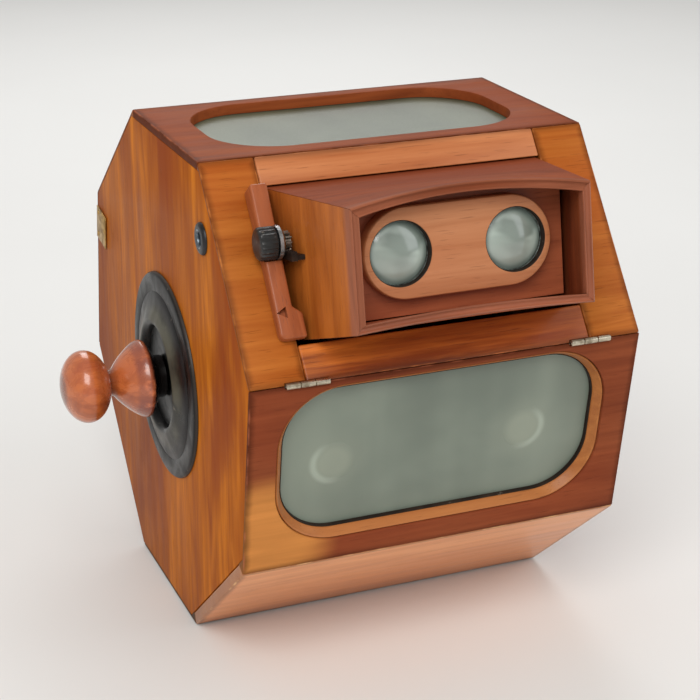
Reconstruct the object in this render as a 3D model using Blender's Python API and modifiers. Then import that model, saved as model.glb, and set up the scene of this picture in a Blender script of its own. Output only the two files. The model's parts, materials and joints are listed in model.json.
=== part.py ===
"""Tabletop revolving stereo viewer: an eight-sided wooden case with a reel of card
holders on a cross axle, a focusing eyepiece hood, two glazed doors and a glazed top.

Metres, +Z up, +X to the right, -Y towards the person who looks in.
The origin is on the resting face, straight below the axle.
"""
import bpy
import bmesh
from math import asin, cos, pi, radians, sin, sqrt, tan
from mathutils import Matrix, Vector

# ---- Driving dimensions ----
CASE_WIDTH = 0.2266
AXLE_HEIGHT = 0.1454
BOARD = 0.007            # boards wrapped round the case
END_BOARD = 0.012        # octagonal end panels
FLANGE = 0.004           # outer part of an end panel, let into the ends of the boards
FLANGE_INSET = 0.0019    # from the case's faces to the flange
FLANGE_INSETS = {"A": 0.0048, "D": BOARD + 0.0005}   # the faces where it differs
PLUG_STEP = 0.0015       # least step from the flange in to the rest of the panel
PANEL_EDGE = 0.0004      # softened edge of a panel, also fills its step clear of the boards
GAP = 0.0003             # clearance between pieces that touch
EDGE = 0.0006            # softened edge of a board
BORE_GAP = 0.0004        # running clearance round a shaft

# Corners of the case seen from the side: (y, z) from the axle, from the back of the
# top forwards, down the front, along the base and up the back.
CORNERS = {
    "A": (0.0514, 0.1476), "B": (-0.0741, 0.1476), "C": (-0.1514, 0.0473), "D": (-0.1333, -0.0664),
    "E": (-0.0418, -0.1454), "F": (0.0704, -0.1454), "G": (0.1649, -0.0383), "H": (0.1469, 0.0723),
}
CORNER_ORDER = "ABCDEFGH"

# Openings of the two doors and of the top, as distances on their own faces
DOOR_WINDOW_HALF = 0.0966
DOOR_WINDOW_RADIUS = 0.036
DOOR_WINDOW_MARGIN = 0.0045      # hinge side
DOOR_WINDOW_FREE_MARGIN = 0.0133
BEAD_WIDTH = 0.0044
BEAD_FRONT = 0.0010
BEAD_BACK = 0.0087
GLASS = 0.0020
TOP_WINDOW_HALF = 0.0910
TOP_WINDOW_RADIUS = 0.038
TOP_WINDOW_BACK = 0.0105
TOP_WINDOW_FRONT = 0.0145
TOP_REBATE = 0.0035
TOP_LEDGE = 0.0060

# Upper front face: two stiles and two rails round the eyepiece opening
OPENING_HALF = 0.0825
TOP_RAIL = 0.0174
BOTTOM_RAIL_START = 0.1058

# Eyepiece: lens axis and hood, measured from the middle between the lenses
LENS_POINT = (-0.1558, 0.1121)   # (y, z) from the axle
LENS_TILT = radians(10)          # the lens axis rises towards the eyes
LENS_HALF_SPACING = 0.0324
LENS_RADIUS = 0.0164
LENS_HOLE = 0.0172
LENS_LIP = 0.0006                # the plate behind holds the lens by this much
LENS_EDGE = 0.0020
LENS_FRONT = 0.0040              # height of the front curve
LENS_BACK = 0.0030
RIM = 0.020                      # rim ahead of the lens board's face
HOOD_WALL = 0.005
RIM_HALF_WIDTH = 0.0666
RIM_TOP = 0.0286
RIM_BOTTOM = -0.0346
SIDE_TAPER = 0.16
TOP_TAPER = 0.0484
BOTTOM_TAPER = 0.18
BROW_ARCH = 0.006
BROW_RECESS = 0.005
NOSE_ARCH = 0.0015
NOSE_RECESS = 0.004
HOOD_DEPTH_INSIDE = 0.009        # how far the hood's back edge reaches through the face
LENS_BOARD_HALF = 0.053
LENS_BOARD_HEIGHT = 0.048
LENS_BOARD = 0.008
LENS_PLATE_HALF = 0.0635
LENS_PLATE = 0.0047
LENS_PLATE_UP = (-0.0336, 0.0240)
LENS_PLATE_ARCH = 0.0030         # its top follows the brow
ARCH_STEPS = 8
ROD_X = 0.054                    # guide rods behind the lens plate
ROD_UP = -0.0255
ROD_RADIUS = 0.0020
ROD_BACK = -0.0510
BRACKET_A = (-0.0490, -0.0415)   # guide brackets, along the lens axis
BRACKET_HALF_WIDTH = 0.007
BRACKET_TOP = -0.0208
BRACKET_LOW_BACK = -0.0550
BRACKET_LOW_FRONT = -0.0455
BRACKET_FOOT = (0.1068, 0.1172)  # on the bottom rail

# Focusing drive: knob and pinion beside the hood
FOCUS_DOWN = 0.0534              # down the upper front face
FOCUS_OUT = 0.0125               # ahead of it
BLOCK_X = (-0.0925, -0.0828)     # block that carries the shaft
BLOCK_S = (0.0200, 0.1035)
BLOCK_HEIGHT = (0.0125, 0.0060)  # at its top and bottom ends
FOOT_X = -0.0779
FOOT_LENGTH = 0.0169             # along the block's side
FOOT_SLOPE = 0.0040
NOTCH_RADIUS = 0.0094
KEYHOLE = (-0.0884, 0.0896)
KEYHOLE_RADIUS = 0.0036
PINION_TEETH = 12
PINION_PITCH_RADIUS = 0.0048
TOOTH_TOP = 0.0007
TOOTH_ROOT = 0.0010
PINION_X = (-0.0818, -0.0786)
RACK_LENGTH = 0.0250
RACK_HEIGHT = 0.0042
RACK_TEETH = 8
SHAFT_RADIUS = 0.0025
FOCUS_KNOB_RADIUS = 0.0088
FOCUS_KNOB_LEFT = -0.0962
FOCUS_KNOB_BORE = 0.0030         # depth left solid at its outer end
BEARING_RADIUS = 0.0090
BEARING = 0.0030

# Reel
AXLE_RADIUS = 0.004
HOLDERS = 6
HOLDER_INNER = 0.0345
HOLDER_OUTER = 0.1255
HOLDER_HALF = 0.093
HOLDER_THICKNESS = 0.0036
CARD_SLOT = 0.0015
CARD_HALF = 0.0896
SPIDER_RADIUS = 0.046
SPIDER_X = (0.080, 0.088)
CARD_WINDOW_HALF = 0.082
CARD_WINDOW_START = 0.0125       # from the holder's inner edge
AXLE_REACH = 0.0285              # past each end panel

# Knobs and escutcheons, out from the end panels
ESCUTCHEON = [   # radius, height above the panel
    (0.0294, 0.0020), (0.0306, 0.0052), (0.0332, 0.0068), (0.0390, 0.0054), (0.0470, 0.0035),
    (0.0500, 0.0028), (0.0590, 0.0026), (0.0615, 0.0012), (0.0615, 0.0003),
]
BALL_CENTRE = 0.0489
BALL_HALF_LENGTH = 0.0144
BALL_RADIUS = 0.0212
NECK_RADIUS = 0.0068
NECK_HEIGHT = 0.0335
SAUCER_RADIUS = 0.0226
SAUCER_HEIGHT = 0.0165
SAUCER_BACK = [(0.0229, 0.0152), (0.0217, 0.0128), (0.0178, 0.0103), (0.0140, 0.0088)]
STEM_RADIUS = 0.0125
STEM_TOP = 0.0070
STEM_BASE = 0.0030
KNOB_BORE_TOP = 0.0300

# Bush for a cord on the left end panel: (y, z) from the axle
EYELET = (-0.0790, 0.1072)
EYELET_RADIUS = 0.0090
EYELET_SHANK = 0.0066
EYELET_BORE = 0.0042
EYELET_DEPTH = 0.009

# Brass plate at the back edge of the left end panel, as distances on the back door's face
CATCH_PLATE_S = (0.0815, 0.1035)
CATCH_PLATE_DEPTH = (0.0025, 0.0235)
CATCH_PLATE = 0.0008

# Hinges
HINGE_X = 0.082
HINGE_HALF = 0.012
KNUCKLE_RADIUS = 0.0017
KNUCKLE_PROUD = 0.0008
LEAF = 0.0008
LEAF_REACH = 0.0063
PIN_RADIUS = 0.00075

HALF_WIDTH = CASE_WIDTH / 2
HOLE_STEPS = 20
PAST = 0.002             # how far a cutter runs past what it cuts

MATERIALS = {   # colour, roughness, metallic
    "end_wood": ((0.43, 0.13, 0.030), 0.35, 0.0),
    "front_wood": ((0.46, 0.17, 0.040), 0.35, 0.0),
    "door_wood": ((0.24, 0.075, 0.045), 0.35, 0.0),
    "bead_wood": ((0.40, 0.15, 0.045), 0.40, 0.0),
    "pale_wood": ((0.55, 0.24, 0.11), 0.42, 0.0),
    "hood_wood": ((0.30, 0.090, 0.050), 0.38, 0.0),
    "knob_wood": ((0.42, 0.12, 0.045), 0.25, 0.0),
    "inner_wood": ((0.20, 0.10, 0.05), 0.60, 0.0),
    "ground_glass": ((0.25, 0.29, 0.24), 0.55, 0.0),
    "lens_glass": ((0.55, 0.62, 0.56), 0.05, 0.0),
    "black_iron": ((0.030, 0.030, 0.028), 0.35, 0.2),
    "steel": ((0.55, 0.54, 0.50), 0.32, 1.0),
    "brass": ((0.60, 0.42, 0.14), 0.35, 1.0),
    "tinplate": ((0.05, 0.05, 0.05), 0.50, 0.3),
}

for old_object in list(bpy.data.objects):
    bpy.data.objects.remove(old_object)
PARTS = bpy.data.collections.new("stereo_viewer")
CUTTERS = bpy.data.collections.new("stereo_viewer_cutters")
bpy.context.scene.collection.children.link(PARTS)
bpy.context.scene.collection.children.link(CUTTERS)


# ---- Frames of reference ----
def frame(origin, x_axis, y_axis, z_axis):
    matrix = Matrix((x_axis, y_axis, z_axis)).transposed().to_4x4()
    matrix.translation = origin
    return matrix


RIGHT = Vector((1, 0, 0))
AXLE_FRAME = Matrix.Translation((0, 0, AXLE_HEIGHT))


def corner(name):
    y, z = CORNERS[name]
    return Vector((0, y, AXLE_HEIGHT + z))


def along(a, b):
    return (corner(b) - corner(a)).normalized()


def face_length(a, b):
    return (corner(b) - corner(a)).length


def face_frame(a, b):
    """x across the case, y from corner a to corner b, z into the case."""
    step = along(a, b)
    return frame(corner(a), RIGHT, step, RIGHT.cross(step))


def neighbour(name, step):
    return CORNER_ORDER[(CORNER_ORDER.index(name) + step) % len(CORNER_ORDER)]


def mitre_slope(name):
    """How fast a board narrows with depth at this corner."""
    before = along(neighbour(name, -1), name)
    after = along(name, neighbour(name, 1))
    return tan(before.angle(after) / 2)


def side_frame(x=0.0):
    """x backwards, y upwards, z to the right, on the axle at x."""
    return frame(Vector((x, 0, AXLE_HEIGHT)), Vector((0, 1, 0)), Vector((0, 0, 1)), RIGHT)


def outward_frame(side, y=0.0, z=0.0, x=HALF_WIDTH):
    """z out of the end panel on that side, with its origin on the panel's outer face."""
    out = RIGHT * side
    up = Vector((0, 0, 1))
    return frame(Vector((side * x, y, AXLE_HEIGHT + z)), up, out.cross(up), out)


def eyepiece_frame():
    """x across, y up the lens board, z along the lens axis towards the eyes."""
    out = Vector((0, -cos(LENS_TILT), sin(LENS_TILT)))
    up = Vector((0, sin(LENS_TILT), cos(LENS_TILT)))
    y, z = LENS_POINT
    return frame(Vector((0, y, AXLE_HEIGHT + z)), RIGHT, up, out)


def hinge_frame(name, x=0.0):
    """x along the pin, y into the mitre between the two boards at this corner."""
    before = RIGHT.cross(along(neighbour(name, -1), name))
    after = RIGHT.cross(along(name, neighbour(name, 1)))
    inward = (before + after).normalized()
    origin = corner(name) - inward * KNUCKLE_PROUD + RIGHT * x
    return frame(origin, RIGHT, inward, RIGHT.cross(inward))


def focus_frame():
    face = face_frame("B", "C")
    return frame(face @ Vector((0, FOCUS_DOWN, -FOCUS_OUT)), Vector((0, 1, 0)), Vector((0, 0, 1)), RIGHT)


# ---- Bodies that move, as empties on their axes ----
BODY_FRAMES = {
    "reel_axis": AXLE_FRAME,
    "front_door_axis": hinge_frame("C"),
    "back_door_axis": hinge_frame("G"),
    "eyepiece_axis": eyepiece_frame(),
    "focus_axis": focus_frame(),
}


def add_axis(name):
    empty = bpy.data.objects.new(name, None)
    empty.empty_display_size = 0.03
    empty.matrix_basis = BODY_FRAMES[name]
    PARTS.objects.link(empty)
    return empty


AXES = {name: add_axis(name) for name in BODY_FRAMES}


# ---- Making objects ----
def material(name):
    found = bpy.data.materials.get(name)
    if found:
        return found
    colour, roughness, metallic = MATERIALS[name]
    made = bpy.data.materials.new(name)
    made.use_nodes = True
    shader = made.node_tree.nodes["Principled BSDF"]
    shader.inputs["Base Color"].default_value = (*colour, 1)
    shader.inputs["Roughness"].default_value = roughness
    shader.inputs["Metallic"].default_value = metallic
    return made


def place(name, mesh, matrix, finish, axis=None):
    """Put a mesh in the model, or among the cutters when it has no finish."""
    made = bpy.data.objects.new(name, mesh)
    if finish is None:
        made.matrix_basis = matrix
        made.hide_render = True
        made.display_type = 'WIRE'
        CUTTERS.objects.link(made)
        return made
    mesh.materials.append(material(finish))
    PARTS.objects.link(made)
    if axis:
        made.parent = AXES[axis]
        made.matrix_basis = BODY_FRAMES[axis].inverted() @ matrix
    else:
        made.matrix_basis = matrix
    return made


def mesh_from(bm, name):
    bmesh.ops.recalc_face_normals(bm, faces=bm.faces)
    mesh = bpy.data.meshes.new(name)
    bm.to_mesh(mesh)
    bm.free()
    return mesh


def shaped_box(name, matrix, finish, point, axis=None):
    """A cube whose eight corners go where point(sx, sy, sz) says, each sign -1 or 1."""
    bm = bmesh.new()
    bmesh.ops.create_cube(bm, size=2)
    for vertex in bm.verts:
        vertex.co = Vector(point(*(round(value) for value in vertex.co)))
    return place(name, mesh_from(bm, name), matrix, finish, axis)


def pick(sign, pair):
    return pair[0] if sign < 0 else pair[1]


def box(name, matrix, x, y, z, finish=None, axis=None):
    return shaped_box(name, matrix, finish,
                      lambda sx, sy, sz: (pick(sx, x), pick(sy, y), pick(sz, z)), axis)


def rounded_box(name, matrix, x, y, z, radius, finish=None, axis=None, flare=0.0, segments=6):
    """A box with its four z edges rounded; flare widens it at its outer end, the lower z."""
    bm = bmesh.new()
    bmesh.ops.create_cube(bm, size=2)
    for vertex in bm.verts:
        sx, sy, sz = vertex.co
        vertex.co = Vector((pick(sx, x), pick(sy, y), pick(sz, z)))
    upright = [e for e in bm.edges if abs(e.verts[0].co.z - e.verts[1].co.z) > 1e-6]
    bmesh.ops.bevel(bm, geom=upright, offset=radius, segments=segments, profile=0.5, affect='EDGES')
    middle = Vector(((x[0] + x[1]) / 2, (y[0] + y[1]) / 2, 0))
    half = Vector(((x[1] - x[0]) / 2, (y[1] - y[0]) / 2, 0))
    if flare:
        for vertex in bm.verts:
            if vertex.co.z < sum(z) / 2:
                vertex.co.x = middle.x + (vertex.co.x - middle.x) * (half.x + flare) / half.x
                vertex.co.y = middle.y + (vertex.co.y - middle.y) * (half.y + flare) / half.y
    return place(name, mesh_from(bm, name), matrix, finish, axis)


def cylinder(name, matrix, radius, z, finish=None, axis=None, segments=HOLE_STEPS):
    bm = bmesh.new()
    bmesh.ops.create_cone(bm, cap_ends=True, segments=segments, radius1=radius, radius2=radius,
                          depth=z[1] - z[0])
    bmesh.ops.translate(bm, vec=(0, 0, sum(z) / 2), verts=bm.verts)
    made = place(name, mesh_from(bm, name), matrix, finish, axis)
    smooth(made)
    return made


def turned(name, matrix, profile, finish, axis=None, steps=20, ring=False):
    """A profile of (radius, height) points, down its outer side, turned about local z."""
    mesh = bpy.data.meshes.new(name)
    count = len(profile)
    edges = [(i, i + 1) for i in range(count - 1)]
    if ring:
        edges.append((count - 1, 0))
    mesh.from_pydata([(radius, 0, height) for radius, height in profile], edges, [])
    made = place(name, mesh, matrix, finish, axis)
    screw = made.modifiers.new("turn", 'SCREW')
    screw.steps = steps
    screw.render_steps = steps
    screw.use_merge_vertices = True
    screw.merge_threshold = 1e-6
    screw.use_smooth_shade = True
    return made


def outline(name, matrix, points, z, finish=None, axis=None):
    """A flat outline in local x and y with thickness along z, as a mesh."""
    curve = bpy.data.curves.new(name, 'CURVE')
    curve.dimensions = '2D'
    curve.fill_mode = 'BOTH'
    curve.extrude = (z[1] - z[0]) / 2
    spline = curve.splines.new('POLY')
    spline.points.add(len(points) - 1)
    for target, (x, y) in zip(spline.points, points):
        target.co = (x, y, 0, 1)
    spline.use_cyclic_u = True
    guide = bpy.data.objects.new(name + "_curve", curve)
    CUTTERS.objects.link(guide)
    bpy.context.view_layer.update()
    mesh = bpy.data.meshes.new_from_object(guide.evaluated_get(bpy.context.evaluated_depsgraph_get()))
    bpy.data.objects.remove(guide)
    bm = bmesh.new()
    bm.from_mesh(mesh)
    bmesh.ops.remove_doubles(bm, verts=bm.verts, dist=1e-6)
    bmesh.ops.translate(bm, vec=(0, 0, sum(z) / 2), verts=bm.verts)
    return place(name, mesh_from(bm, name), matrix, finish, axis)


def smooth(target, angle=35):
    target.data.shade_smooth()
    target.data.set_sharp_from_angle(angle=radians(angle))


def boolean(target, tool, operation):
    step = target.modifiers.new(operation.lower(), 'BOOLEAN')
    step.operation = operation
    step.object = tool


def cut(target, *tools):
    for tool in tools:
        boolean(target, tool, 'DIFFERENCE')


def soften(target, width=EDGE, segments=1, angle=30):
    bevel = target.modifiers.new("soft_edge", 'BEVEL')
    bevel.width = width
    bevel.segments = segments
    bevel.limit_method = 'ANGLE'
    bevel.angle_limit = radians(angle)
    return target


# ---- Case boards ----
def face_board(name, a, b, finish, x=(-HALF_WIDTH, HALF_WIDTH), start=None, end=None,
               start_slope=0.0, end_slope=0.0, axis=None):
    """A board on face a-b; an end that isn't given is mitred at the corner."""
    low = (GAP / 2, mitre_slope(a)) if start is None else (start, start_slope)
    high = (face_length(a, b) - GAP / 2, -mitre_slope(b)) if end is None else (end, end_slope)

    def point(sx, sy, sz):
        depth = pick(sz, (0, BOARD))
        edge, slope = pick(sy, (low, high))
        return pick(sx, x), edge + slope * depth, depth

    return shaped_box(name, face_frame(a, b), finish, point, axis)


def inset_corners(insets):
    """The octagon's corners moved in by each face's own inset, as (y, z) from the axle."""
    points = []
    for name in CORNER_ORDER:
        before = neighbour(name, -1)
        normals = [RIGHT.cross(along(before, name)), RIGHT.cross(along(name, neighbour(name, 1)))]
        across = Matrix([(normal.y, normal.z) for normal in normals])
        shift = across.inverted() @ Vector((insets[before], insets[name]))
        y, z = CORNERS[name]
        points.append((y + shift.x, z + shift.y))
    return points


def flange_insets(less=0.0):
    return {name: FLANGE_INSETS.get(name, FLANGE_INSET) - less for name in CORNER_ORDER}


def end_rebate(side):
    """Clearance in the ends of the boards for one end panel's flange."""
    x = tuple(sorted((side * (HALF_WIDTH - FLANGE - GAP), side * (HALF_WIDTH + PAST))))
    return outline(f"end_rebate_{side}", side_frame(), inset_corners(flange_insets(GAP)), x)


END_REBATES = {side: end_rebate(side) for side in (-1, 1)}


def finish_board(piece, cutters=(), sides=(-1, 1)):
    """Soften a board, then cut it and the rebates in its ends."""
    soften(piece)
    cut(piece, *cutters, *(END_REBATES[side] for side in sides))


def stepped_panel(name, side, finish):
    """Octagonal rings from the panel's inner face out to its outer face, joined in order."""
    flange = flange_insets()
    plug = {key: max(BOARD + GAP, inset + PLUG_STEP) for key, inset in flange.items()}
    step = HALF_WIDTH - FLANGE
    rings = [(plug, HALF_WIDTH - END_BOARD), (plug, step), (flange, step), (flange, HALF_WIDTH)]
    bm = bmesh.new()
    loops = []
    for insets, x in rings:
        loops.append([bm.verts.new((y, z, side * x)) for y, z in inset_corners(insets)])
    count = len(CORNER_ORDER)
    for low, high in zip(loops, loops[1:]):
        for i in range(count):
            k = (i + 1) % count
            bm.faces.new((low[i], low[k], high[k], high[i]))
    bm.faces.new(loops[0])
    bm.faces.new(loops[-1])
    return place(name, mesh_from(bm, name), side_frame(), finish)


def make_end_panel(side, name, extra_cutters=()):
    panel = stepped_panel(name, side, "end_wood")
    hole = cylinder(name + "_axle_hole", outward_frame(side), AXLE_RADIUS + BORE_GAP,
                    (-END_BOARD - PAST, PAST))
    cut(panel, hole, *extra_cutters)
    soften(panel, PANEL_EDGE)


def make_eyelet():
    hole = cylinder("eyelet_hole", outward_frame(-1, *EYELET), EYELET_SHANK + GAP,
                    (-END_BOARD - PAST, PAST))
    profile = [(EYELET_BORE, -EYELET_DEPTH), (EYELET_BORE, 0.0006), (EYELET_BORE + 0.0012, 0.0021),
               (EYELET_RADIUS - 0.0022, 0.0024), (EYELET_RADIUS - 0.0005, 0.0016),
               (EYELET_RADIUS, GAP), (EYELET_SHANK, GAP), (EYELET_SHANK, -EYELET_DEPTH)]
    turned("side_eyelet", outward_frame(-1, *EYELET), profile, "black_iron", ring=True)
    return hole


def hinge_cutters(corner_name, side):
    """Clearance for one hinge: the barrel and the two leaves let into the mitre."""
    label = f"hinge_{corner_name}_{side}"
    matrix = hinge_frame(corner_name, side * HINGE_X)
    turn = matrix @ Matrix.Rotation(pi / 2, 4, 'Y')
    half = HINGE_HALF + GAP
    barrel = cylinder(label + "_barrel", turn, KNUCKLE_RADIUS + 0.0007, (-half, half))
    reach = LEAF_REACH + GAP
    thick = LEAF + 2 * GAP
    leaves = box(label + "_leaves", matrix, (-half, half), (0, reach), (-thick, thick))
    return barrel, leaves


HINGE_CUTS = {(name, side): hinge_cutters(name, side) for name in "CG" for side in (-1, 1)}


def make_upper_front():
    left = face_board("upper_front_left_stile", "B", "C", "front_wood", x=(-HALF_WIDTH, -OPENING_HALF))
    right = face_board("upper_front_right_stile", "B", "C", "front_wood", x=(OPENING_HALF, HALF_WIDTH))
    width = (-OPENING_HALF + GAP, OPENING_HALF - GAP)
    tilt = face_frame("B", "C").to_3x3().col[2].angle(-eyepiece_frame().to_3x3().col[2])
    top = face_board("upper_front_top_rail", "B", "C", "front_wood", x=width,
                     end=TOP_RAIL, end_slope=-tan(tilt))
    bottom = face_board("upper_front_bottom_rail", "B", "C", "front_wood", x=width,
                        start=BOTTOM_RAIL_START)
    hinges = (*HINGE_CUTS["C", -1], *HINGE_CUTS["C", 1])
    finish_board(left, HINGE_CUTS["C", -1], (-1,))
    finish_board(right, HINGE_CUTS["C", 1], (1,))
    finish_board(top, (), ())
    finish_board(bottom, hinges, ())


def make_top():
    board_piece = face_board("top_window_frame", "A", "B", "front_wood")
    matrix = face_frame("A", "B")
    x = (-TOP_WINDOW_HALF, TOP_WINDOW_HALF)
    y = (TOP_WINDOW_BACK, face_length("A", "B") - TOP_WINDOW_FRONT)
    opening = rounded_box("top_opening", matrix, x, y, (-PAST, BOARD + PAST), TOP_WINDOW_RADIUS)
    grow = TOP_REBATE
    rebate = rounded_box("top_rebate", matrix, (x[0] - grow, x[1] + grow), (y[0] - grow, y[1] + grow),
                         (TOP_LEDGE, BOARD + PAST), TOP_WINDOW_RADIUS + grow)
    finish_board(board_piece, (opening, rebate))
    grow = TOP_REBATE - GAP
    front = TOP_LEDGE + GAP
    rounded_box("top_ground_glass", matrix, (x[0] - grow, x[1] + grow), (y[0] - grow, y[1] + grow),
                (front, front + GLASS), TOP_WINDOW_RADIUS + grow, "ground_glass")


def make_plain_boards():
    hinges = (*HINGE_CUTS["G", -1], *HINGE_CUTS["G", 1])
    finish_board(face_board("lower_back_board", "F", "G", "front_wood"), hinges)
    finish_board(face_board("lower_front_board", "D", "E", "pale_wood"))
    finish_board(face_board("bottom_board", "E", "F", "inner_wood"))
    finish_board(face_board("upper_back_board", "H", "A", "front_wood"))


# ---- Doors ----
def make_door(label, a, b, axis):
    matrix = face_frame(a, b)
    door = face_board(label + "_door_frame", a, b, "door_wood", axis=axis)
    x = (-DOOR_WINDOW_HALF, DOOR_WINDOW_HALF)
    y = (DOOR_WINDOW_MARGIN, face_length(a, b) - DOOR_WINDOW_FREE_MARGIN)

    def inset(by):
        return (x[0] + by, x[1] - by), (y[0] + by, y[1] - by)

    opening = rounded_box(label + "_opening", matrix, x, y, (-PAST, BOARD + PAST), DOOR_WINDOW_RADIUS)
    finish_board(door, (opening, *HINGE_CUTS[a, -1], *HINGE_CUTS[a, 1]))

    bead = rounded_box(label + "_door_bead", matrix, *inset(GAP), (BEAD_FRONT, BEAD_BACK),
                       DOOR_WINDOW_RADIUS - GAP, "bead_wood", axis)
    slope = rounded_box(label + "_bead_slope", matrix, *inset(BEAD_WIDTH),
                        (BEAD_FRONT - PAST, BEAD_BACK + PAST), DOOR_WINDOW_RADIUS - BEAD_WIDTH,
                        flare=BEAD_WIDTH)
    cut(bead, slope)
    front = BEAD_BACK + GAP
    rounded_box(label + "_door_glass", matrix, *inset(2 * GAP), (front, front + GLASS),
                DOOR_WINDOW_RADIUS - 2 * GAP, "ground_glass", axis)
    for side in (-1, 1):
        make_hinge(label, a, side, axis)


def make_hinge(label, corner_name, side, axis):
    """Fixed half with two end knuckles and the pin, moving half with the middle knuckle."""
    word = "left" if side < 0 else "right"
    matrix = hinge_frame(corner_name, side * HINGE_X)
    turn = matrix @ Matrix.Rotation(pi / 2, 4, 'Y')
    middle = HINGE_HALF / 3
    inner = middle + GAP
    near = KNUCKLE_RADIUS + 0.0005
    root = 0.0008
    half = HINGE_HALF
    far, close = half - 0.0003, inner + 0.0004
    fixed_profile = [(0, half), (KNUCKLE_RADIUS, half), (KNUCKLE_RADIUS, inner), (PIN_RADIUS, inner),
                     (PIN_RADIUS, -inner), (KNUCKLE_RADIUS, -inner), (KNUCKLE_RADIUS, -half), (0, -half)]
    fixed = turned(f"{label}_hinge_fixed_{word}", turn, fixed_profile, "steel", steps=12)
    fixed_leaf = outline(f"{label}_fixed_leaf_{word}", matrix,
                         [(-far, root), (-close, root), (-close, near), (close, near), (close, root),
                          (far, root), (far, LEAF_REACH), (-far, LEAF_REACH)],
                         (GAP / 2, GAP / 2 + LEAF))
    boolean(fixed, fixed_leaf, 'UNION')
    bore = PIN_RADIUS + 0.00025
    neck = middle - 0.0004
    moving = turned(f"{label}_hinge_leaf_{word}", turn,
                    [(KNUCKLE_RADIUS, middle), (KNUCKLE_RADIUS, -middle), (bore, -middle), (bore, middle)],
                    "steel", axis, steps=12, ring=True)
    moving_leaf = outline(f"{label}_moving_leaf_{word}", matrix,
                          [(-neck, root + GAP), (neck, root + GAP), (neck, near + 0.0002), (far, near),
                           (far, LEAF_REACH), (-far, LEAF_REACH), (-far, near), (-neck, near + 0.0002)],
                          (-GAP / 2 - LEAF, -GAP / 2))
    boolean(moving, moving_leaf, 'UNION')


# ---- Side fittings ----
def ball_profile(steps=8):
    """From the tip of the ball round its widest part to the neck."""
    last = pi - asin(NECK_RADIUS / BALL_RADIUS)
    points = []
    for i in range(1, steps + 1):
        angle = last * i / steps
        points.append((BALL_RADIUS * sin(angle), BALL_CENTRE + BALL_HALF_LENGTH * cos(angle)))
    return points


def saucer_profile(steps=4):
    """A slightly rounded cone from the neck out to the saucer's edge."""
    points = []
    for i in range(1, steps + 1):
        t = i / steps
        radius = NECK_RADIUS + (SAUCER_RADIUS - NECK_RADIUS) * (1 - (1 - t) ** 1.25)
        points.append((radius, NECK_HEIGHT + (SAUCER_HEIGHT - NECK_HEIGHT) * t ** 1.15))
    return points


def make_side_fittings(side, word):
    bore = AXLE_RADIUS + BORE_GAP
    plate = [(bore, GAP), (bore, ESCUTCHEON[0][1])] + ESCUTCHEON
    turned(word + "_escutcheon", outward_frame(side), plate, "black_iron", steps=40, ring=True)
    profile = [(0, BALL_CENTRE + BALL_HALF_LENGTH)] + ball_profile() + saucer_profile()
    profile += SAUCER_BACK
    profile += [(STEM_RADIUS, STEM_TOP), (STEM_RADIUS, STEM_BASE), (bore, STEM_BASE),
                (bore, KNOB_BORE_TOP), (0, KNOB_BORE_TOP)]
    turned(word + "_knob", outward_frame(side), profile, "knob_wood", "reel_axis", steps=28)


def make_catch_plate():
    x = (-HALF_WIDTH - GAP - CATCH_PLATE, -HALF_WIDTH - GAP)
    plate = box("catch_plate", face_frame("G", "H"), x, CATCH_PLATE_S, CATCH_PLATE_DEPTH, "brass")
    soften(plate, 0.0002, 1)


# ---- Reel ----
def slotted_disc(radius, slot_bottom, slot_width, arc_steps=5):
    """A disc with one open slot for each holder, the first slot towards local +y."""
    points = []
    half = slot_width / 2
    side = asin(half / radius)
    rise = sqrt(radius ** 2 - half ** 2)
    sector = 2 * pi / HOLDERS
    for k in range(HOLDERS):
        turn = Matrix.Rotation(k * sector, 2)
        for x, y in ((-half, rise), (-half, slot_bottom), (half, slot_bottom), (half, rise)):
            points.append(tuple(turn.inverted() @ Vector((x, y))))
        for i in range(1, arc_steps):
            angle = k * sector + side + (sector - 2 * side) * i / arc_steps
            points.append((radius * sin(angle), radius * cos(angle)))
    return points


def reel_frame(x=0.0):
    """Side frame turned so that local y points at the card being viewed."""
    return side_frame(x) @ Matrix.Rotation(-LENS_TILT, 4, 'Z')


def make_reel():
    length = HALF_WIDTH + AXLE_REACH
    cylinder("axle", side_frame(), AXLE_RADIUS, (-length, length), "steel", "reel_axis")
    for side, word in ((-1, "left"), (1, "right")):
        z = tuple(sorted((side * SPIDER_X[0], side * SPIDER_X[1])))
        spider = outline(word + "_spider", reel_frame(),
                         slotted_disc(SPIDER_RADIUS, HOLDER_INNER - GAP, HOLDER_THICKNESS + 2 * GAP),
                         z, "inner_wood", "reel_axis")
        cut(spider, cylinder(word + "_spider_bore", reel_frame(), AXLE_RADIUS + GAP,
                             (z[0] - PAST, z[1] + PAST)))
    for k in range(HOLDERS):
        make_holder(k)
    bore = AXLE_RADIUS + 0.001
    near = SPIDER_X[1] + 0.0005
    far = HALF_WIDTH - END_BOARD - 0.0006
    washer = [(bore, far), (bore + 0.001, far), (bore + 0.010, near + 0.0005), (bore + 0.009, near),
              (bore, far - 0.0014)]
    turned("reel_spring_washer", side_frame(), washer, "steel", "reel_axis", steps=24, ring=True)


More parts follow.
